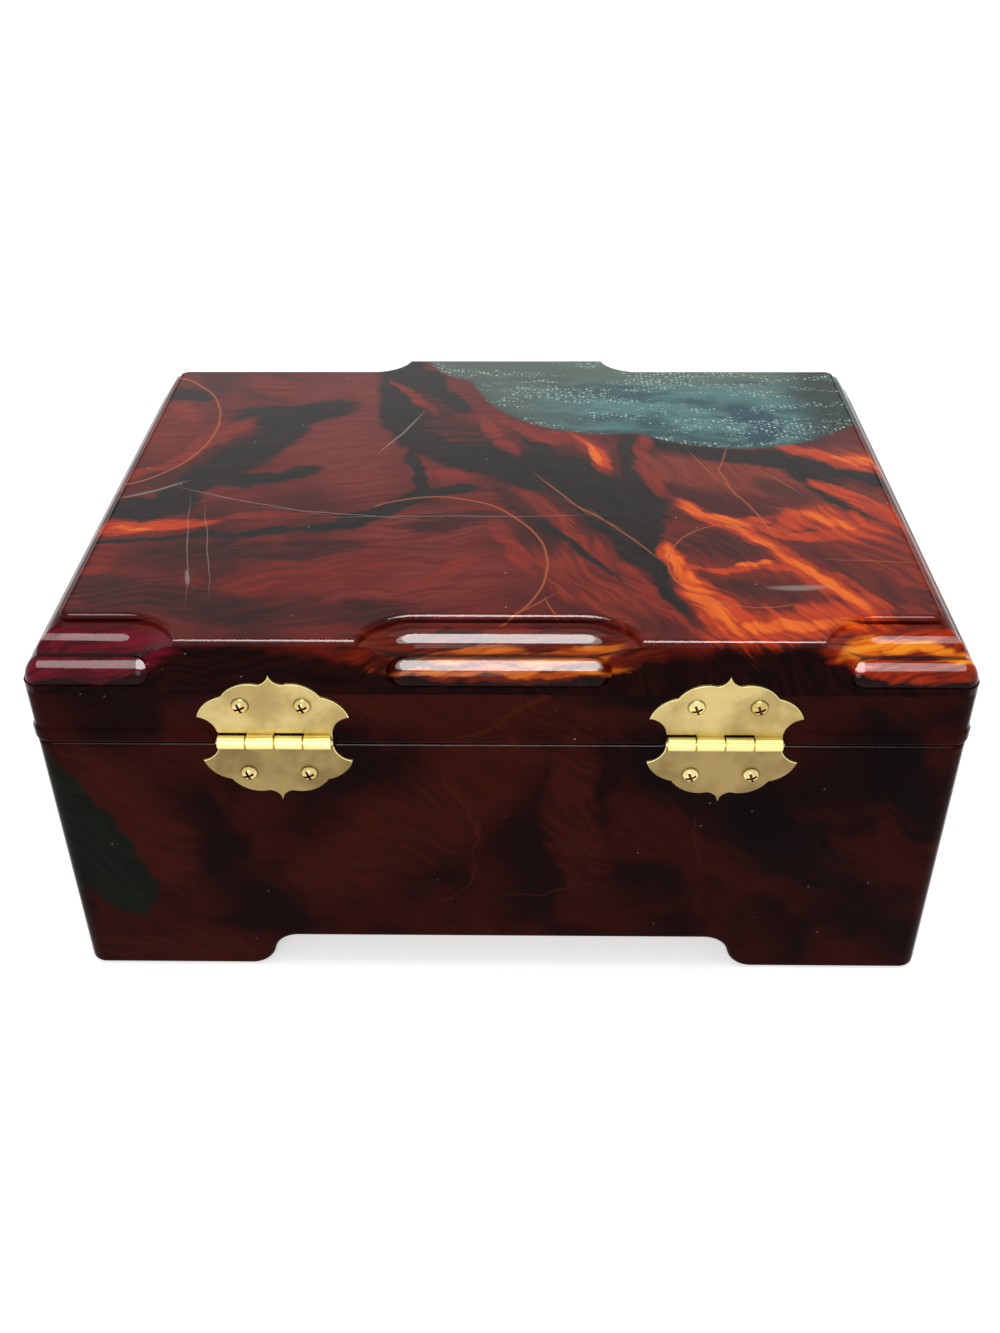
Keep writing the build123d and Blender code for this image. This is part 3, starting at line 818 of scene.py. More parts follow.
@dataclass(frozen=True)
class Pool:
    """The blue-green pool at the lid's far side, with its pale flecks painted bright as glints.

    Attributes:
        ovals: Middle and radii of the ovals that make it up, in millimetres.
        merge: How softly the ovals run into each other.
        hollow: Its deepest part.
        waters: The two colours that its clouds mix.
        fleck_glint: The flecks' colour, painted bright as a glint.
        fleck_grades: For each size of the flecks, the cell's size in millimetres, the cover, and the
        chance below which a cell stays empty.
        fleck_edge: Where the flecks' edges begin and end, as a share of their cells.
    """

    ovals: tuple[tuple[Point, Point], ...] = (
        ((2, 190), (32, 32)), ((34, 170), (46, 51)), ((75, 170), (55, 61)), ((104, 176), (34, 52)),
    )
    merge: float = 0.16
    hollow: Vein = Vein(((78, 138, 5), (88, 128, 7), (82, 116, 4)))
    waters: tuple[Colour, Colour] = (paint(40, 80, 86), paint(80, 124, 124))
    fleck_glint: Colour = paint(196, 226, 212)
    fleck_grades: tuple[Place, ...] = ((1.5, 0.8, 0.62), (0.85, 0.6, 0.5))
    fleck_edge: tuple[float, float] = (0.38, 0.1)

    def lay(self, tree: ShaderTree, plane: Plane, spot: Wire, flat: Wire, ground: Wire) -> Wire:
        """Lay the pool over a ground.

        Args:
            tree: The tree to add to.
            plane: The place on the figure's plane.
            spot: The place pushed about, for the clouds.
            flat: The place itself, in millimetres.
            ground: The colour so far.

        Returns:
            The colour with the pool in it.
        """
        ovals = (plane.oval(centre, radii, 0.0) for centre, radii in self.ovals)
        gap = tree.least(ovals, self.merge)
        banded = tree.vector("MULTIPLY", spot, (0.36, 1.15, 1.0))
        cloud = tree.noise(banded, size=14.0, detail=4.0, rough=0.6)
        sway = cloud - 0.5
        across, depth, _ = tree.split(flat)
        base = tree.blend(tree.smooth(cloud, 0.38, 0.62), *self.waters)
        far_bank = tree.smooth(depth + sway * 30, 152.0, 168.0) * 0.85
        left_bank = tree.smooth(across + sway * 40, 44.0, -4.0) * 0.8
        right_bank = tree.smooth(across + sway * 24, 92.0, 108.0) * 0.9
        deepest = tree.smooth(self.hollow.reach(plane), 1.4, 0.6) * 0.85
        rim = tree.smooth(gap, 0.82, 1.0) * 0.45
        for share, colour in (
            (far_bank, paint(86, 104, 90)),
            (left_bank, paint(84, 94, 86)),
            (right_bank, paint(24, 38, 33)),
            (deepest, paint(22, 64, 84)),
            (rim, paint(34, 46, 46)),
        ):
            base = tree.blend(share, base, colour)
        streaked = tree.vector("MULTIPLY", spot, (0.38, 1.5, 1.0))
        drifts = tree.smooth(tree.noise(streaked, size=15.0, detail=3.0, rough=0.7), 0.48, 0.58)
        # Pale flecks, painted bright as glints.
        for size, cover, limit in self.fleck_grades:
            near, chance = tree.cells(flat, size)
            red, _, _ = tree.split(chance)
            dots = tree.smooth(near, *self.fleck_edge) * tree.smooth(red, limit, limit + 0.1)
            base = tree.blend(dots * (drifts * 0.95 + 0.05) * cover, base, self.fleck_glint)
        return tree.blend(tree.smooth(gap, 1.02, 0.98), ground, base)


@dataclass(frozen=True)
class BurlLacquer:
    """Dark red burl under a clear, polished and slightly worn lacquer.

    Attributes:
        name: The material's name.
        figure: Which part of the figure the piece shows.
        back_face: Where the box's back face is along Y, in millimetres.
        lid_height: How high the lid's top is, in millimetres.
        shine: How strongly the lacquer mirrors, as the shader's specular level.
        gloss: The lacquer's roughness where it is cleanest.
        smudge: How much rougher it is where it is handled.
        ripple: How deep its surface waves are, as a bump's strength.
        coat_index: Refractive index of the polish over the lid.
        coat_roughness: That polish's roughness.
        slant: How far the top's figure runs out for each millimetre below the lid's top.
        stroke: A stroke's length, width and depth, in millimetres.
        side_face: Where the lid's flat side face begins and is full along X, in millimetres.
        side_ends: Where that face ends and is full along Y, in millimetres.
        land_face: How deep behind the back face the polish is full and gone, in millimetres.
        land_top: How far below the top it begins to thin and is gone, in millimetres.
    """

    name: str
    figure: Figure
    back_face: float
    lid_height: float
    shine: float = 0.1
    gloss: float = 0.06
    smudge: float = 0.09
    ripple: float = 0.08
    coat_index: float = 1.16
    coat_roughness: float = 0.07
    slant: float = 0.8
    stroke: Place = (19.0, 2.3, 2.3)
    side_face: tuple[float, float] = (113.4, 114.4)
    side_ends: tuple[float, float] = (84.0, 77.0)
    land_face: tuple[float, float] = (0.35, 0.1)
    land_top: tuple[float, float] = (1.4, 2.2)

    def material(self) -> bpy.types.Material:
        """Make the material.

        Returns:
            The material.
        """
        tree = ShaderTree(self.name)
        place = tree.place()
        x, y, z = tree.split(place)
        if self.figure is Figure.FREE:
            colour = self._free(tree, place)
        else:
            tree.dimensions = "2D"
            if self.figure is Figure.LID_TOP:
                below = self.lid_height - z
                colour = self._top(tree, tree.join(0 - x, self.back_face - y - below * self.slant, 0.0))
            else:
                colour = self._back(tree, tree.join(0 - x, z, 0.0))
            tree.dimensions = "3D"
        rough = tree.noise(place, size=30.0, detail=4.0, rough=0.65)
        waves = tree.noise(place, size=7.0, detail=1.0) + tree.noise(place, size=1.6, detail=1.0) * 0.12
        values = {
            "Base Color": self._specks(tree, place, colour),
            "Roughness": rough * self.smudge + (self.gloss - self.smudge * 0.3),
            "Normal": tree.bump(waves, self.ripple, depth=1 * MM),
            "Specular IOR Level": self.shine,
        }
        if self.figure is Figure.LID_TOP:
            values["Coat Weight"] = self._coat(tree, x, y, z)
            values["Coat IOR"] = self.coat_index
            values["Coat Roughness"] = self.coat_roughness
        return tree.surface(values)

    def _coat(self, tree: ShaderTree, x: Wire, y: Wire, z: Wire) -> Wire:
        """Give where the lid is polished: not on its flat side faces and its flat back face.

        Args:
            tree: The tree to add to.
            x: The place along X, in millimetres.
            y: The place along Y, in millimetres.
            z: The place along Z, in millimetres.

        Returns:
            The polish, from 0 to 1.
        """
        side = tree.smooth(abs(x), *self.side_face) * tree.smooth(abs(y), *self.side_ends)
        land = tree.smooth(self.back_face - y, *self.land_face)
        return 1 - tree.math("MAXIMUM", side, land * tree.smooth(self.lid_height - z, *self.land_top))

    def _strokes(self, tree: ShaderTree, spot: Wire, turn: float) -> Wire:
        """Draw fine strokes that run at an angle across the figure.

        Args:
            tree: The tree to add to.
            spot: The place in millimetres.
            turn: The angle in degrees.

        Returns:
            The strokes, from 0 to 1.
        """
        values = {"Vector": spot, "Rotation": (0.0, 0.0, math.radians(turn)), "Scale": self.stroke}
        turned = tree.node("ShaderNodeMapping", {"vector_type": "TEXTURE"}, values)
        return tree.noise(turned, size=1.0, detail=3.0, rough=0.58)

    @staticmethod
    def _ground(
        tree: ShaderTree, drift: Wire, strokes: Wire, low: Colour, high: Colour, shade: float = 0.72
    ) -> Wire:
        """Lay the ground: soft patches of two reds, drawn over with darker strokes.

        Args:
            tree: The tree to add to.
            drift: The place pushed about, for the patches.
            strokes: The strokes, from 0 to 1.
            low: The darker red.
            high: The lighter red.
            shade: How bright the ground stays in a stroke.

        Returns:
            The ground's colour.
        """
        patches = tree.noise(drift, size=30.0)
        soft = tree.blend(tree.smooth(patches, 0.36, 0.64), low, high)
        drawn = tree.tint(soft, (shade, shade - 0.06, shade - 0.06))
        return tree.blend(tree.smooth(strokes, 0.34, 0.64), drawn, soft)

    def _free(self, tree: ShaderTree, place: Wire) -> Wire:
        """Lay free figure: dark flows and thin amber veins through a red-brown ground.

        Args:
            tree: The tree to add to.
            place: The place in millimetres.

        Returns:
            The colour.
        """
        drift = tree.swirl(tree.swirl(place, size=46.0, reach=16.0), size=11.0, reach=1.6)
        drawn_out = tree.vector("MULTIPLY", drift, (0.055, 0.055, 0.42))
        strokes = tree.noise(drawn_out, size=1.0, detail=3.0, rough=0.58)
        ground = self._ground(tree, drift, strokes, paint(46, 11, 8), paint(96, 26, 15))
        bed = tree.noise(drift, size=50.0, detail=1.5) + (strokes - 0.5) * 0.06
        dark = tree.blend(tree.smooth(bed, 0.53, 0.60) * 0.95, ground, paint(15, 9, 8))
        elsewhere = tree.vector("ADD", drift, (70.0, 30.0, 10.0))
        line = abs(tree.noise(elsewhere, size=58.0, detail=1.5) - 0.47)
        glow = tree.smooth(line, 0.026, 0.0) * tree.smooth(strokes, *STROKE_EDGES)
        return tree.blend(glow * 0.55, dark, paint(160, 50, 16))

    def _top(self, tree: ShaderTree, flat: Wire) -> Wire:
        """Lay the lid top's own figure: stains, the blue-green pool, the beads' tints and painted shade.

        Args:
            tree: The tree to add to.
            flat: The place on the figure's plane, in millimetres.

        Returns:
            The colour.
        """
        spot = tree.swirl(tree.swirl(flat, size=13.0, reach=2.4, detail=1.0), size=3.5, reach=0.8)
        plane = Plane.at(tree, spot)
        steady = Plane.at(tree, tree.swirl(flat, size=20.0, reach=0.9, detail=1.0))
        drift = tree.swirl(tree.swirl(flat, size=40.0, reach=9.0), size=11.0, reach=1.3)
        across, _, _ = tree.split(flat)
        level, slanted = self._strokes(tree, drift, 12.0), self._strokes(tree, drift, -54.0)
        strokes = level + (slanted - level) * tree.smooth(across, -6.0, 14.0)
        colour = self._ground(tree, drift, strokes, paint(74, 15, 10), paint(108, 26, 18))
        colour = Stain.lay_all(BROAD_STAINS + DARK_STAINS_AND_SHADE + BRIGHT_STAINS, tree, plane, colour, strokes)
        colour = Pool().lay(tree, steady, spot, flat, colour)
        colour = Stain.lay_all(LINE_STAINS_AND_REFLECTION, tree, steady, colour, strokes)
        colour = Stain.lay_all(BEAD_STAINS, tree, plane, colour, level)
        # Painted shade in the beads' quirk and groove goes on last.
        return Stain.lay_all(QUIRK_SHADE, tree, Plane.at(tree, flat), colour, level)

    def _back(self, tree: ShaderTree, flat: Wire) -> Wire:
        """Lay the back's own figure, which is drier and darker than the lid's.

        Args:
            tree: The tree to add to.
            flat: The place on the figure's plane, in millimetres.

        Returns:
            The colour.
        """
        spot = tree.swirl(tree.swirl(flat, size=16.0, reach=3.6), size=4.0, reach=0.9)
        drift = tree.swirl(flat, size=30.0, reach=9.0)
        strokes = self._strokes(tree, drift, -38.0)
        colour = self._ground(tree, drift, strokes, paint(26, 7, 7), paint(52, 14, 10), shade=0.84)
        return Stain.lay_all(BACK_STAINS, tree, Plane.at(tree, spot), colour, strokes)

    @staticmethod
    def _specks(tree: ShaderTree, place: Wire, ground: Wire) -> Wire:
        """Scatter the dust specks and pin holes of an old polish.

        Args:
            tree: The tree to add to.
            place: The place in millimetres.
            ground: The colour so far.

        Returns:
            The colour with the specks and holes in it.
        """
        near, chance = tree.cells(place, size=6.2)
        red, green, _ = tree.split(chance)
        speck = tree.smooth(near, 0.06, 0.02) * tree.smooth(red, 0.6, 0.64)
        lit = tree.blend(speck * 0.6, ground, paint(196, 176, 150))
        pin = tree.smooth(near, 0.07, 0.03) * tree.smooth(green, 0.3, 0.28)
        return tree.blend(pin * 0.6, lit, paint(24, 10, 9))


@dataclass(frozen=True)
class SatinBrass:
    """Brushed brass with a thin skin of tarnish.

    Attributes:
        name: The material's name.
        bright: The colour where it is worn bright.
        dull: The colour where it is tarnished.
        roughness: How satin it is.
    """

    name: str
    bright: Colour = paint(202, 181, 122)
    dull: Colour = paint(164, 142, 90)
    roughness: float = 0.34

    def material(
        self,
        recess: Callable[[ShaderTree, Wire], Wire] | None = None,
        rub_and_highlight: Callable[[ShaderTree, Wire], Wire] | None = None,
    ) -> bpy.types.Material:
        """Make the material.

        Args:
            recess: Gives dirt and painted shade, from 0 to 1, at a place in millimetres.
            rub_and_highlight: Gives where it is worn bright and where a highlight is painted, in the same
                way.

        Returns:
            The material.
        """
        tree = ShaderTree(self.name)
        place = tree.place()
        patches = tree.noise(place, size=12.0, detail=3.0, rough=0.55)
        brushed = tree.noise(tree.vector("MULTIPLY", place, (1.0, 1.0, 0.12)), size=0.35)
        colour = tree.blend(tree.smooth(patches, 0.35, 0.7), self.dull, self.bright)
        pits = tree.smooth(tree.noise(place, size=0.9, detail=3.0, rough=0.7), 0.64, 0.74)
        colour = tree.blend(pits * 0.35, colour, paint(110, 84, 44))
        # A painted highlight, with some wear, on the leaves' barrel and bevelled edges.
        if rub_and_highlight is not None:
            colour = tree.blend(rub_and_highlight(tree, place), colour, paint(240, 226, 154))
        # Dirt in the cross recess, and a painted shadow round each screw head's base.
        if recess is not None:
            colour = tree.blend(recess(tree, place), colour, paint(70, 44, 22))
        roughness = brushed * 0.14 + patches * 0.1 + (self.roughness - 0.1)
        bump = tree.bump(brushed, strength=0.12, depth=0.2 * MM)
        return tree.surface({"Base Color": colour, "Metallic": 1.0, "Roughness": roughness, "Normal": bump})


@dataclass(frozen=True)
class WineVelvet:
    """Deep red velvet with a brushed nap.

    Attributes:
        name: The material's name.
        pile: The colour looking down into the pile.
        crest: The colour where the nap leans.
    """

    name: str = "wine_velvet"
    pile: Colour = paint(62, 7, 16)
    crest: Colour = paint(102, 17, 31)

    def material(self) -> bpy.types.Material:
        """Make the material.

        Returns:
            The material.
        """
        tree = ShaderTree(self.name)
        place = tree.place()
        swept = tree.swirl(place, size=30.0, reach=12.0)
        nap = tree.noise(swept, size=26.0, detail=3.0, rough=0.55)
        tufts = tree.noise(place, size=0.45, rough=0.7)
        lean = tree.smooth(nap + (tufts - 0.5) * 0.35, 0.34, 0.68)
        colour = tree.blend(lean, self.pile, self.crest)
        bump = tree.bump(tufts + nap * 0.6, strength=0.5, depth=0.4 * MM)
        return tree.surface(
            {
                "Base Color": colour,
                "Roughness": 0.85,
                "Specular IOR Level": 0.2,
                "Sheen Weight": 0.4,
                "Sheen Roughness": 0.4,
                "Sheen Tint": paint(214, 120, 130),
                "Normal": bump,
            }
        )


@dataclass(frozen=True)
class PlainBoard:
    """Planed pale board with straight grain along the box's length.

    Attributes:
        name: The material's name.
        early: The colour of the soft rings.
        late: The colour of the hard rings.
    """

    name: str = "plain_board"
    early: Colour = paint(176, 138, 98)
    late: Colour = paint(128, 88, 54)

    def material(self) -> bpy.types.Material:
        """Make the material.

        Returns:
            The material.
        """
        tree = ShaderTree(self.name)
        place = tree.swirl(tree.place(), size=60.0, reach=5.0)
        _, y, z = tree.split(place)
        rings = tree.math("SINE", (y + z * 2.5) * 0.9)
        drawn_out = tree.vector("MULTIPLY", place, (0.04, 1.0, 1.0))
        fibres = tree.noise(drawn_out, size=0.5, detail=3.0, rough=0.7)
        share = rings * 0.25 + fibres * 0.7 + 0.1
        colour = tree.blend(tree.smooth(share, 0.15, 0.85), self.early, self.late)
        bump = tree.bump(fibres, strength=0.3, depth=0.2 * MM)
        return tree.surface({"Base Color": colour, "Roughness": fibres * 0.1 + 0.55, "Normal": bump})


@dataclass(frozen=True)
class Carcass:
    """The lacquered body: four walls on bracket feet, and the floor board.

    Attributes:
        sides: The walls' names, without the back.
    """

    sides: tuple[str, ...] = ("front_wall", "left_wall", "right_wall")

    def dress(self, free: bpy.types.Material, back: bpy.types.Material, board: bpy.types.Material) -> None:
        """Give the walls and the floor board their finishes.

        Args:
            free: The lacquer with free figure, for the front and the sides.
            back: The lacquer with the back's own figure.
            board: The plain board.
        """
        for side in self.sides:
            finish(side, free)
        finish("back_wall", back)
        finish("floor_board", board)


@dataclass(frozen=True)
class Lid:
    """The lid: a board with a carved double-bead edge on four rails.

    Attributes:
        sides: The rails' names, without the back.
    """

    sides: tuple[str, ...] = ("lid_front_rail", "lid_left_rail", "lid_right_rail")

    def dress(self, top: bpy.types.Material, free: bpy.types.Material, back: bpy.types.Material) -> None:
        """Give the board and the rails their finishes.

        Args:
            top: The lacquer with the lid top's own figure.
            free: The lacquer with free figure, for the front and side rails.
            back: The lacquer with the back's own figure.
        """
        finish("lid_board", top)
        finish("lid_back_rail", back)
        for side in self.sides:
            finish(side, free)


@dataclass(frozen=True)
class ButterflyHinge:
    """One scalloped butterfly hinge with its pin and its four round-head screws.

    Attributes:
        side: Which hinge it is, left or right.
        head_radius: Radius of a screw's head, in millimetres.
        dome_radius: Radius of that head's dome, in millimetres.
        dirt_reach: How far below the dome dirt starts to show, in millimetres.
        leaf_thickness: How thick a leaf is, in millimetres.
        cross_reach: How far out the cross recess goes and has faded, in millimetres.
        flat_face: How far off the leaf's face counts as flat and as worn with a painted highlight,
        in millimetres.
    """

    side: str
    head_radius: float = 2.45
    dome_radius: float = 2.57
    dirt_reach: float = 0.5
    leaf_thickness: float = 0.9
    cross_reach: tuple[float, float] = (2.0, 1.6)
    flat_face: tuple[float, float] = (0.05, 0.14)

    def dress(self, lid_brass: bpy.types.Material, body_brass: bpy.types.Material) -> None:
        """Give the leaves, the pin and the screws their finishes.

        Args:
            lid_brass: The brass of the lid's leaf and the pin.
            body_brass: The duller brass of the body's leaf.
        """
        finish(f"{self.side}_hinge_lid_leaf", lid_brass)
        finish(f"{self.side}_hinge_body_leaf", body_brass)
        finish(f"{self.side}_hinge_pin", lid_brass)
        for leaf in ("lid", "body"):
            node = f"{self.side}_hinge_{leaf}_screws"
            screw = SatinBrass(f"{node}_brass", paint(244, 226, 164), paint(204, 178, 112), 0.2)
            finish(node, screw.material(lambda tree, place, node=node: self.recess(tree, place, node)))

    def recess(self, tree: ShaderTree, place: Wire, node: str) -> Wire:
        """Give where dirt holds on a pair of screws, and a painted shadow round the base of each head.

        Args:
            tree: The tree to add to.
            place: The place in millimetres.
            node: The screws' node.

        Returns:
            A share from 0 on the dome to 1 deep in the cross recess, and a painted shadow round each head's
            base.
        """
        low, high = (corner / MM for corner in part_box(node))
        x, y, z = tree.split(place)
        reach = (high.x - low.x) / 2 - self.head_radius
        across = abs(abs(x - (low.x + high.x) / 2) - reach)
        up = z - (low.z + high.z) / 2
        out = tree.math("SQRT", across * across + up * up)
        depth = (high.y - y) - out * out / (2 * self.dome_radius)
        cross = tree.smooth(depth, 0.12, self.dirt_reach) * tree.smooth(out, *self.cross_reach)
        # A painted shadow in a ring round the base of each head.
        base_shadow = tree.smooth(out, self.head_radius - 0.35, self.head_radius - 0.1) * 0.6
        return tree.math("MAXIMUM", cross, base_shadow)

    def rub_and_highlight(self, tree: ShaderTree, place: Wire) -> Wire:
        """Give the leaves' wear and painted highlight: on the barrel and along the bevelled edges.

        Args:
            tree: The tree to add to.
            place: The place in millimetres.

        Returns:
            The wear and painted highlight, from 0 to 1.
        """
        _, y, _ = tree.split(place)
        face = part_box("back_wall")[1].y / MM + self.leaf_thickness
        return tree.smooth(abs(y - face), *self.flat_face)


@dataclass(frozen=True)
class Lamp:
    """One soft lamp, rectangular, or round for a highlight alone.

    Attributes:
        name: Its name.
        place: Where it hangs.
        target: What it points at.
        size: Its width and height.
        power: Its power in watts.
        gloss_only: Whether it shows only as a highlight on the lacquer.
    """

    name: str
    place: Place
    target: Place
    size: tuple[float, float]
    power: float
    gloss_only: bool = False

    def build(self) -> None:
        """Hang the lamp and point it."""
        data = bpy.data.lights.new(self.name, "AREA")
        data.shape = "ELLIPSE" if self.gloss_only else "RECTANGLE"
        data.size, data.size_y = self.size
        data.energy = self.power
        lamp = bpy.data.objects.new(self.name, data)
        lamp.location = self.place
        aim = Vector(self.target) - Vector(self.place)
        lamp.rotation_euler = aim.to_track_quat("-Z", "Y").to_euler()
        lamp.visible_camera = False
        bpy.context.collection.objects.link(lamp)
        if self.gloss_only:
            lamp.visible_diffuse = False
            lacquered = bpy.data.collections.new(f"{self.name}_receivers")
            for node in LACQUERED:
                lacquered.objects.link(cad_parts[node])
            lamp.light_linking.receiver_collection = lacquered


@dataclass(frozen=True)
class Studio:
    """The pale floor, the lamps and the white surroundings.

    Attributes:
        floor_reach: Half the floor's width.
        sky_level: The even light from all round.
        floor_lift: How much whiter the floor looks than its colour, seen or mirrored.
        lamps: The lamps.
    """

    floor_reach: float = 4.0
    sky_level: float = 0.55
    floor_lift: float = 0.54
    lamps: tuple[Lamp, ...] = (
        Lamp("overhead_lamp", (0.0, 0.05, 0.95), (0.0, 0.0, 0.1), (0.62, 0.40), 2.4),
        Lamp("back_fill_lamp", (0.25, 1.5, 0.75), (0.0, 0.0, 0.08), (0.5, 0.5), 6.0),
        Lamp("highlight_lamp", (0.0, 0.64, 0.92), (0.0, 0.55, 0.1), (0.70, 0.84), 112.0, True),
        Lamp("broad_highlight_lamp", (0.0, 0.64, 0.92), (0.0, 0.55, 0.1), (1.3, 0.84), 74.0, True),
    )

    def build(self) -> None:
        """Make the surroundings, the floor and the lamps."""
        self._world()
        self._floor()
        for lamp in self.lamps:
            lamp.build()

    @staticmethod
    def _seen(tree: ShaderTree) -> Wire:
        """Tell rays that look from rays that light.

        Args:
            tree: The tree to add to.

        Returns:
            1 on rays that look, straight or by way of a mirror or glass, and 0 on others.
        """
        names = ("Is Camera Ray", "Is Glossy Ray", "Is Transmission Ray")
        camera, glossy, through = (tree.node("ShaderNodeLightPath", output=name) for name in names)
        return tree.math("MAXIMUM", tree.math("MAXIMUM", camera, glossy), through)

    def _world(self) -> None:
        """Light the scene evenly from all round, in front of plain white."""
        tree = ShaderTree("studio_surroundings", world=True)
        even, white = (
            tree.node("ShaderNodeBackground", values={"Color": WHITE, "Strength": strength})
            for strength in (self.sky_level, 1.0)
        )
        mixed = tree.node("ShaderNodeMixShader", values={0: self._seen(tree), 1: even, 2: white})
        bpy.context.scene.world = tree.close(mixed)

    def _floor(self) -> None:
        """Lay the pale floor, which keeps the object's shadow."""
        reach = self.floor_reach
        corners = [(-reach, -reach, 0), (reach, -reach, 0), (reach, reach, 0), (-reach, reach, 0)]
        mesh = bpy.data.meshes.new("floor")
        mesh.from_pydata(corners, [], [(0, 1, 2, 3)])
        floor = bpy.data.objects.new("floor", mesh)
        bpy.context.collection.objects.link(floor)
        tree = ShaderTree("pale_floor")
        matt = tree.node("ShaderNodeBsdfDiffuse", values={"Color": paint(240, 240, 240)})
        glow = tree.node("ShaderNodeEmission", values={"Color": WHITE, "Strength": self.floor_lift})
        lifted = tree.node("ShaderNodeAddShader", values={0: matt, 1: glow})
        shader = tree.node("ShaderNodeMixShader", values={0: self._seen(tree), 1: matt, 2: lifted})
        mesh.materials.append(tree.close(shader))


@dataclass(frozen=True)
class BackCamera:
    """The camera, behind the box and a little above it.

    Attributes:
        focal_pixels: Focal length on an image of image_height pixels.
        image_height: Height of that image in pixels.
        sensor: Size of the sensor along the image's long side, in millimetres.
        right_of_middle: How far to the viewer's right it stands, in millimetres.
        behind_back_face: How far behind the back face it stands, in millimetres.
        height: Its height above the floor, in millimetres.
        turn: Its turn to the viewer's right, in degrees.
        dip: Its tilt down, in degrees.
        roll: Its roll about its own axis, in degrees.
    """

    focal_pixels: float = 1353.7
    image_height: float = 1333.0
    sensor: float = 36.0
    right_of_middle: float = 5.4
    behind_back_face: float = 282.4
    height: float = 311.7
    turn: float = -1.03
    dip: float = 35.35
    roll: float = -0.39

    def build(self) -> bpy.types.Object:
        """Set the camera up and make it the scene's own.

        Returns:
            The camera.
        """
        turn, dip, roll = (math.radians(a) for a in (self.turn, self.dip, self.roll))
        forward = Vector((-math.sin(turn) * math.cos(dip), -math.cos(turn) * math.cos(dip), -math.sin(dip)))
        level = Vector((-math.cos(turn), math.sin(turn), 0.0))
        upright = level.cross(forward)
        right = level * math.cos(roll) + upright * math.sin(roll)
        up = upright * math.cos(roll) - level * math.sin(roll)
        data = bpy.data.cameras.new("back_camera")
        data.sensor_width = self.sensor
        data.lens = self.sensor * self.focal_pixels / self.image_height
        camera = bpy.data.objects.new("back_camera", data)
        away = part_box("back_wall")[1].y + self.behind_back_face * MM
        pose = Matrix((right, up, -forward)).transposed().to_4x4()
        pose.translation = Vector((-self.right_of_middle * MM, away, self.height * MM))
        camera.matrix_world = pose
        bpy.context.collection.objects.link(camera)
        bpy.context.scene.camera = camera
        return camera


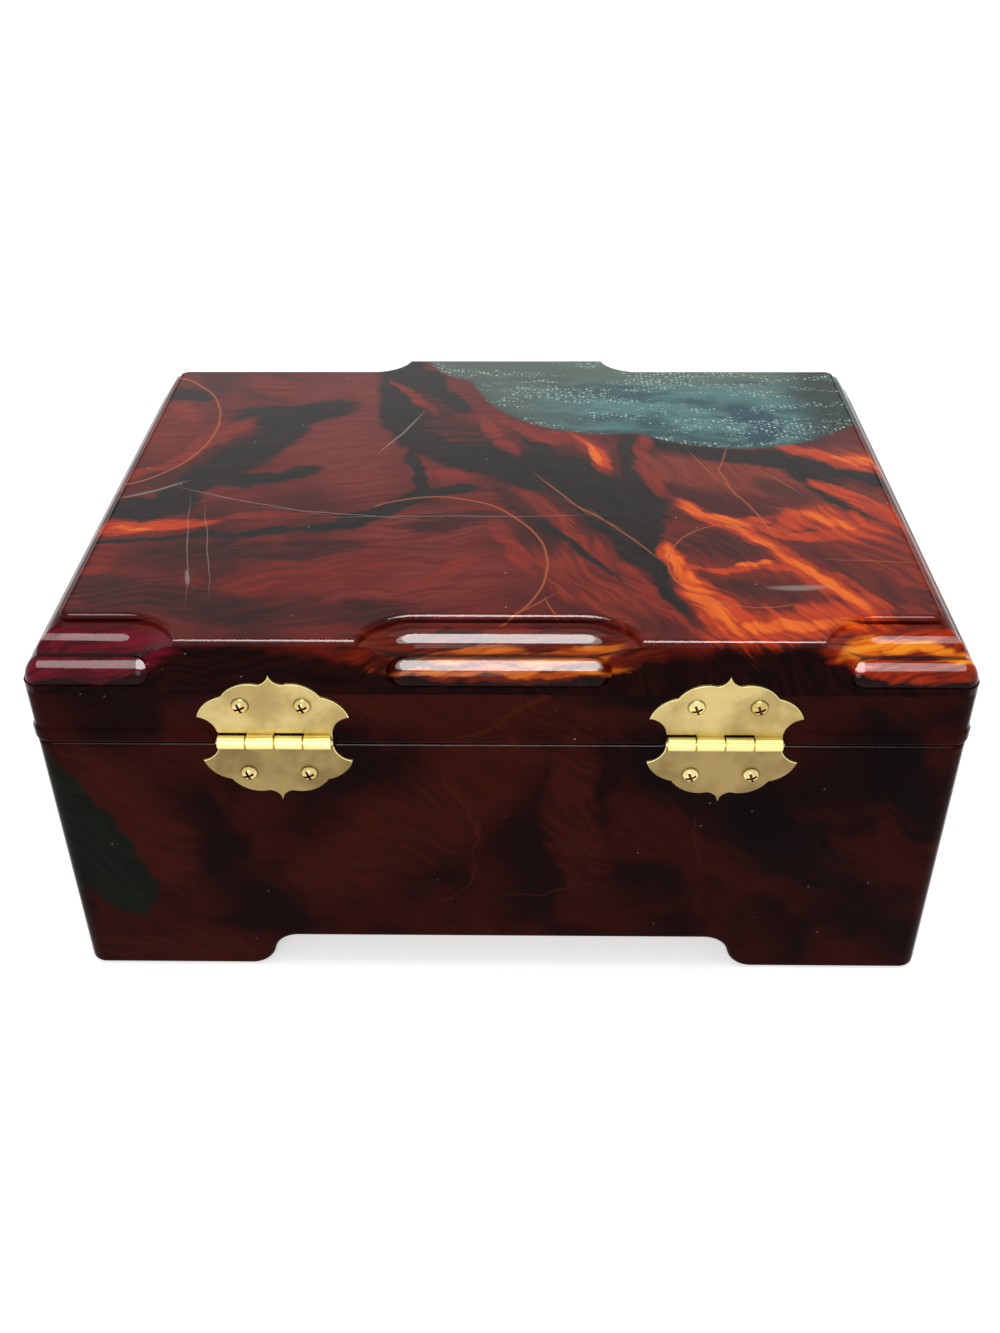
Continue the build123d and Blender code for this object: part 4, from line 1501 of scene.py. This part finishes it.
@dataclass(frozen=True)
class CrownedPad:
    """A velvet-covered pad: crowned, with soft top edges and sides drawn in between its corners.

    Attributes:
        node: The CAD solid that it stands for.
        body: The body that it rides on.
        faces_up: Whether its crown points up; the lid's pad points down.
        crown: How much higher its middle is than its edge, in millimetres.
        drawn_in: How far its sides pull in midway between the corners, in millimetres.
        corner: Radius of its corners seen from above, in millimetres.
        fill: How tightly it is stuffed, from 0 to 1.
        shoulder: Its side from the base up: how far in, in millimetres, and how high, as a
            share of the rim's height.
        top_inset: How far in from its side its top begins, in millimetres.
        dome: How its crown rises from the rim: the lower, the flatter its middle.
        dimple: Depth of its dimples, in millimetres.
        dimple_pitch: How many dimples there are to a metre.
        corner_steps: Steps round a corner.
        side_steps: Steps along a side.
        top_steps: Steps from the rim to the middle.
    """

    node: str
    body: str
    faces_up: bool
    crown: float = 1.7
    drawn_in: float = 0.9
    corner: float = 3.5
    # fill: How tightly it is stuffed, from 0 to 1; not used.
    fill: float = 0.6
    shoulder: tuple[Point, ...] = ((0.7, 0.0), (0.25, 0.18), (0.0, 0.45), (0.12, 0.7), (0.5, 0.9))
    top_inset: float = 1.6
    dome: float = 0.6
    dimple: float = 0.35
    dimple_pitch: float = 38.0
    corner_steps: int = 6
    side_steps: int = 24
    top_steps: int = 16

    def outline(self, half_width: float, half_depth: float) -> list[Point]:
        """Give the pad's outline seen from above.

        Args:
            half_width: Half its size along X.
            half_depth: Half its size along Y.

        Returns:
            Points all the way round, starting at the corner between +X and +Y.
        """
        corner = self.corner * MM
        points = []
        for quarter, (x_sign, y_sign) in enumerate(((1, 1), (-1, 1), (-1, -1), (1, -1))):
            middle = (x_sign * (half_width - corner), y_sign * (half_depth - corner))
            for step in range(self.corner_steps + 1):
                angle = (quarter + step / self.corner_steps) * math.pi / 2
                points.append((middle[0] + corner * math.cos(angle), middle[1] + corner * math.sin(angle)))
            x, y = points[-1]
            for step in range(1, self.side_steps):
                share = step / self.side_steps
                pull = self.drawn_in * MM * math.sin(math.pi * share) ** 0.8
                if quarter % 2:
                    points.append((x - x_sign * pull, y * (1 - 2 * share)))
                else:
                    points.append((x * (1 - 2 * share), y - y_sign * pull))
        return points

    def build(self) -> bpy.types.Object:
        """Build the pad in its CAD solid's place.

        Returns:
            The pad.
        """
        low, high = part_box(self.node)
        middle, half = (high + low) / 2, (high - low) / 2
        thickness = high.z - low.z
        rim = thickness - self.crown * MM
        outline = self.outline(half.x, half.y)
        inward = self.top_inset * MM
        side = [(inset * MM, share * rim) for inset, share in self.shoulder] + [(inward, rim + 0.06 * MM)]
        points = [
            (x * (1 - inset / half.x), y * (1 - inset / half.y), height)
            for inset, height in side
            for x, y in outline
        ]
        for step in range(1, self.top_steps):
            share = 1 - (step / self.top_steps) ** 0.8
            for x, y in outline:
                x_top = x * (1 - inward / half.x) * share
                y_top = y * (1 - inward / half.y) * share
                swell = (1 - (x_top / half.x) ** 2) * (1 - (y_top / half.y) ** 2)
                place = Vector((x_top * self.dimple_pitch, y_top * self.dimple_pitch, 3.0 * self.faces_up))
                dimple = abs(mathutils.noise.noise(place)) * self.dimple * MM * swell
                points.append((x_top, y_top, rim + self.crown * MM * swell**self.dome - dimple))
        count, last = len(outline), len(points) - len(outline)
        points.append((0.0, 0.0, thickness - 0.05 * MM))
        faces: list[Face] = [tuple(range(count - 1, -1, -1))]
        faces += bands(last // count + 1, count)
        faces += [(last + step, last + (step + 1) % count, last + count) for step in range(count)]
        flip, base = (1, low.z) if self.faces_up else (-1, high.z)
        placed = [(middle.x + x, middle.y + flip * y, base + flip * z) for x, y, z in points]
        pad = mesh_piece(f"{self.node}_velvet", placed, faces)
        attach(pad, self.body)
        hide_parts(self.node)
        return pad


@dataclass(frozen=True)
class LiningPanel:
    """A thinly padded velvet panel glued to one side, rolled over at its free edge.

    Attributes:
        node: The CAD solid that it stands for.
        body: The body that it rides on.
        free_edge_up: Whether its free edge is the top one; in the lid it is the bottom one.
        fill: How tightly it is padded, from 0 to 1; not used.
        pressed: How far from an end its padding is pressed flat, in millimetres.
        pucker: How much a pucker presses it, from 0 to 1.
        stations: Steps along its length.
        face_steps: Steps up its face.
        roll_steps: Steps round its free edge.
    """

    node: str
    body: str
    free_edge_up: bool
    fill: float = 0.3
    pressed: float = 6.0
    pucker: float = 0.3
    stations: int = 44
    face_steps: int = 8
    roll_steps: int = 6

    def section(self, thickness: float, height: float, squeeze: float) -> list[Point]:
        """Give the panel's outline, cut across its length.

        Args:
            thickness: From the wall to the velvet's face.
            height: From the glued edge to the free edge.
            squeeze: How much the padding is pressed flat, from 0 to 1.

        Returns:
            Points (out from the wall, up from the glued edge), all the way round.
        """
        roll = thickness / 2
        face = [(0.0, 0.0)]
        for step in range(self.face_steps + 1):
            share = step / self.face_steps
            swell = math.sin(math.pi * min(1.0, 0.15 + share)) ** 0.5 * (1 - 0.5 * squeeze)
            face.append((thickness * (0.74 + 0.26 * swell), share * (height - roll)))
        edge = face[-1][0] / 2
        for step in range(1, self.roll_steps + 1):
            angle = step / self.roll_steps * math.pi
            face.append((edge * (1 + math.cos(angle)), height - roll + roll * math.sin(angle)))
        return face

    def build(self) -> bpy.types.Object:
        """Build the panel in its CAD solid's place.

        Returns:
            The panel.
        """
        low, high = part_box(self.node)
        size, middle = high - low, (low + high) / 2
        along_x = size.x > size.y
        thickness, length = (size.y, size.x) if along_x else (size.x, size.y)
        floor_low, floor_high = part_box("floor_board")
        off_middle = middle.y - (floor_low.y + floor_high.y) / 2 if along_x else middle.x
        inward = -math.copysign(1.0, off_middle)
        wall = (middle.y if along_x else middle.x) - inward * thickness / 2
        points: list[Place] = []
        for station in range(self.stations + 1):
            share = station / self.stations
            run = (share - 0.5) * length
            squeeze = max(0.0, 1 - min(share, 1 - share) * length / (self.pressed * MM))
            fold = abs(mathutils.noise.noise(Vector((share * length * 90, thickness * 500, size.z * 9))))
            for out, up in self.section(thickness, size.z, min(1.0, squeeze + self.pucker * fold)):
                height = low.z + up if self.free_edge_up else high.z - up
                across = wall + inward * out
                spot = (middle.x + run, across) if along_x else (across, middle.y + run)
                points.append((*spot, height))
        count = len(points) // (self.stations + 1)
        faces = [tuple(range(count)), tuple(range(len(points) - 1, len(points) - count - 1, -1))]
        faces += [face[::-1] for face in bands(self.stations + 1, count)]
        panel = mesh_piece(f"{self.node}_velvet", points, faces)
        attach(panel, self.body)
        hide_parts(self.node)
        return panel


@dataclass(frozen=True)
class VelvetInterior:
    """The glued-in velvet: a crowned pad and four panels in the body, and the same in the lid.

    Attributes:
        sides: The sides that carry a panel.
    """

    sides: tuple[str, ...] = ("front", "back", "left", "right")

    def build(self, velvet: bpy.types.Material) -> None:
        """Build every velvet piece.

        Args:
            velvet: The material.
        """
        pieces: list[CrownedPad | LiningPanel] = [
            CrownedPad("floor_pad", "box", True),
            CrownedPad("lid_pad", "lid", False),
        ]
        for side in self.sides:
            pieces.append(LiningPanel(f"{side}_lining", "box", True))
            pieces.append(LiningPanel(f"lid_{side}_lining", "lid", False))
        for piece in pieces:
            made = piece.build()
            made.data.materials.append(velvet)
            LOG.info("%s: %d faces", made.name, len(made.data.polygons))


def main() -> None:
    """Build the scene and report each piece."""
    logging.basicConfig(level=logging.INFO, format="%(name)s: %(message)s")
    bpy.context.scene.view_settings.view_transform = "Standard"
    Studio().build()
    BackCamera().build()
    back_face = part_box("back_wall")[1].y / MM
    lid_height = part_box("lid_board")[1].z / MM
    shines = {Figure.LID_TOP: 0.02, Figure.BACK: 0.02, Figure.FREE: 0.1}
    top, back, free = (
        BurlLacquer(f"{figure.name.lower()}_lacquer", figure, back_face, lid_height, shine).material()
        for figure, shine in shines.items()
    )
    Carcass().dress(free, back, PlainBoard().material())
    Lid().dress(top, free, back)
    hinges = ButterflyHinge("left"), ButterflyHinge("right")
    lid_brass = SatinBrass("lid_leaf_brass").material(rub_and_highlight=hinges[0].rub_and_highlight)
    # The body's leaf takes a darker copy of the same brass.
    darker_brass = SatinBrass("body_leaf_brass", paint(158, 136, 88), paint(126, 104, 66))
    body_brass = darker_brass.material(rub_and_highlight=hinges[0].rub_and_highlight)
    for hinge in hinges:
        hinge.dress(lid_brass, body_brass)
    VelvetInterior().build(WineVelvet().material())


if __name__ == "__main__":
    main()
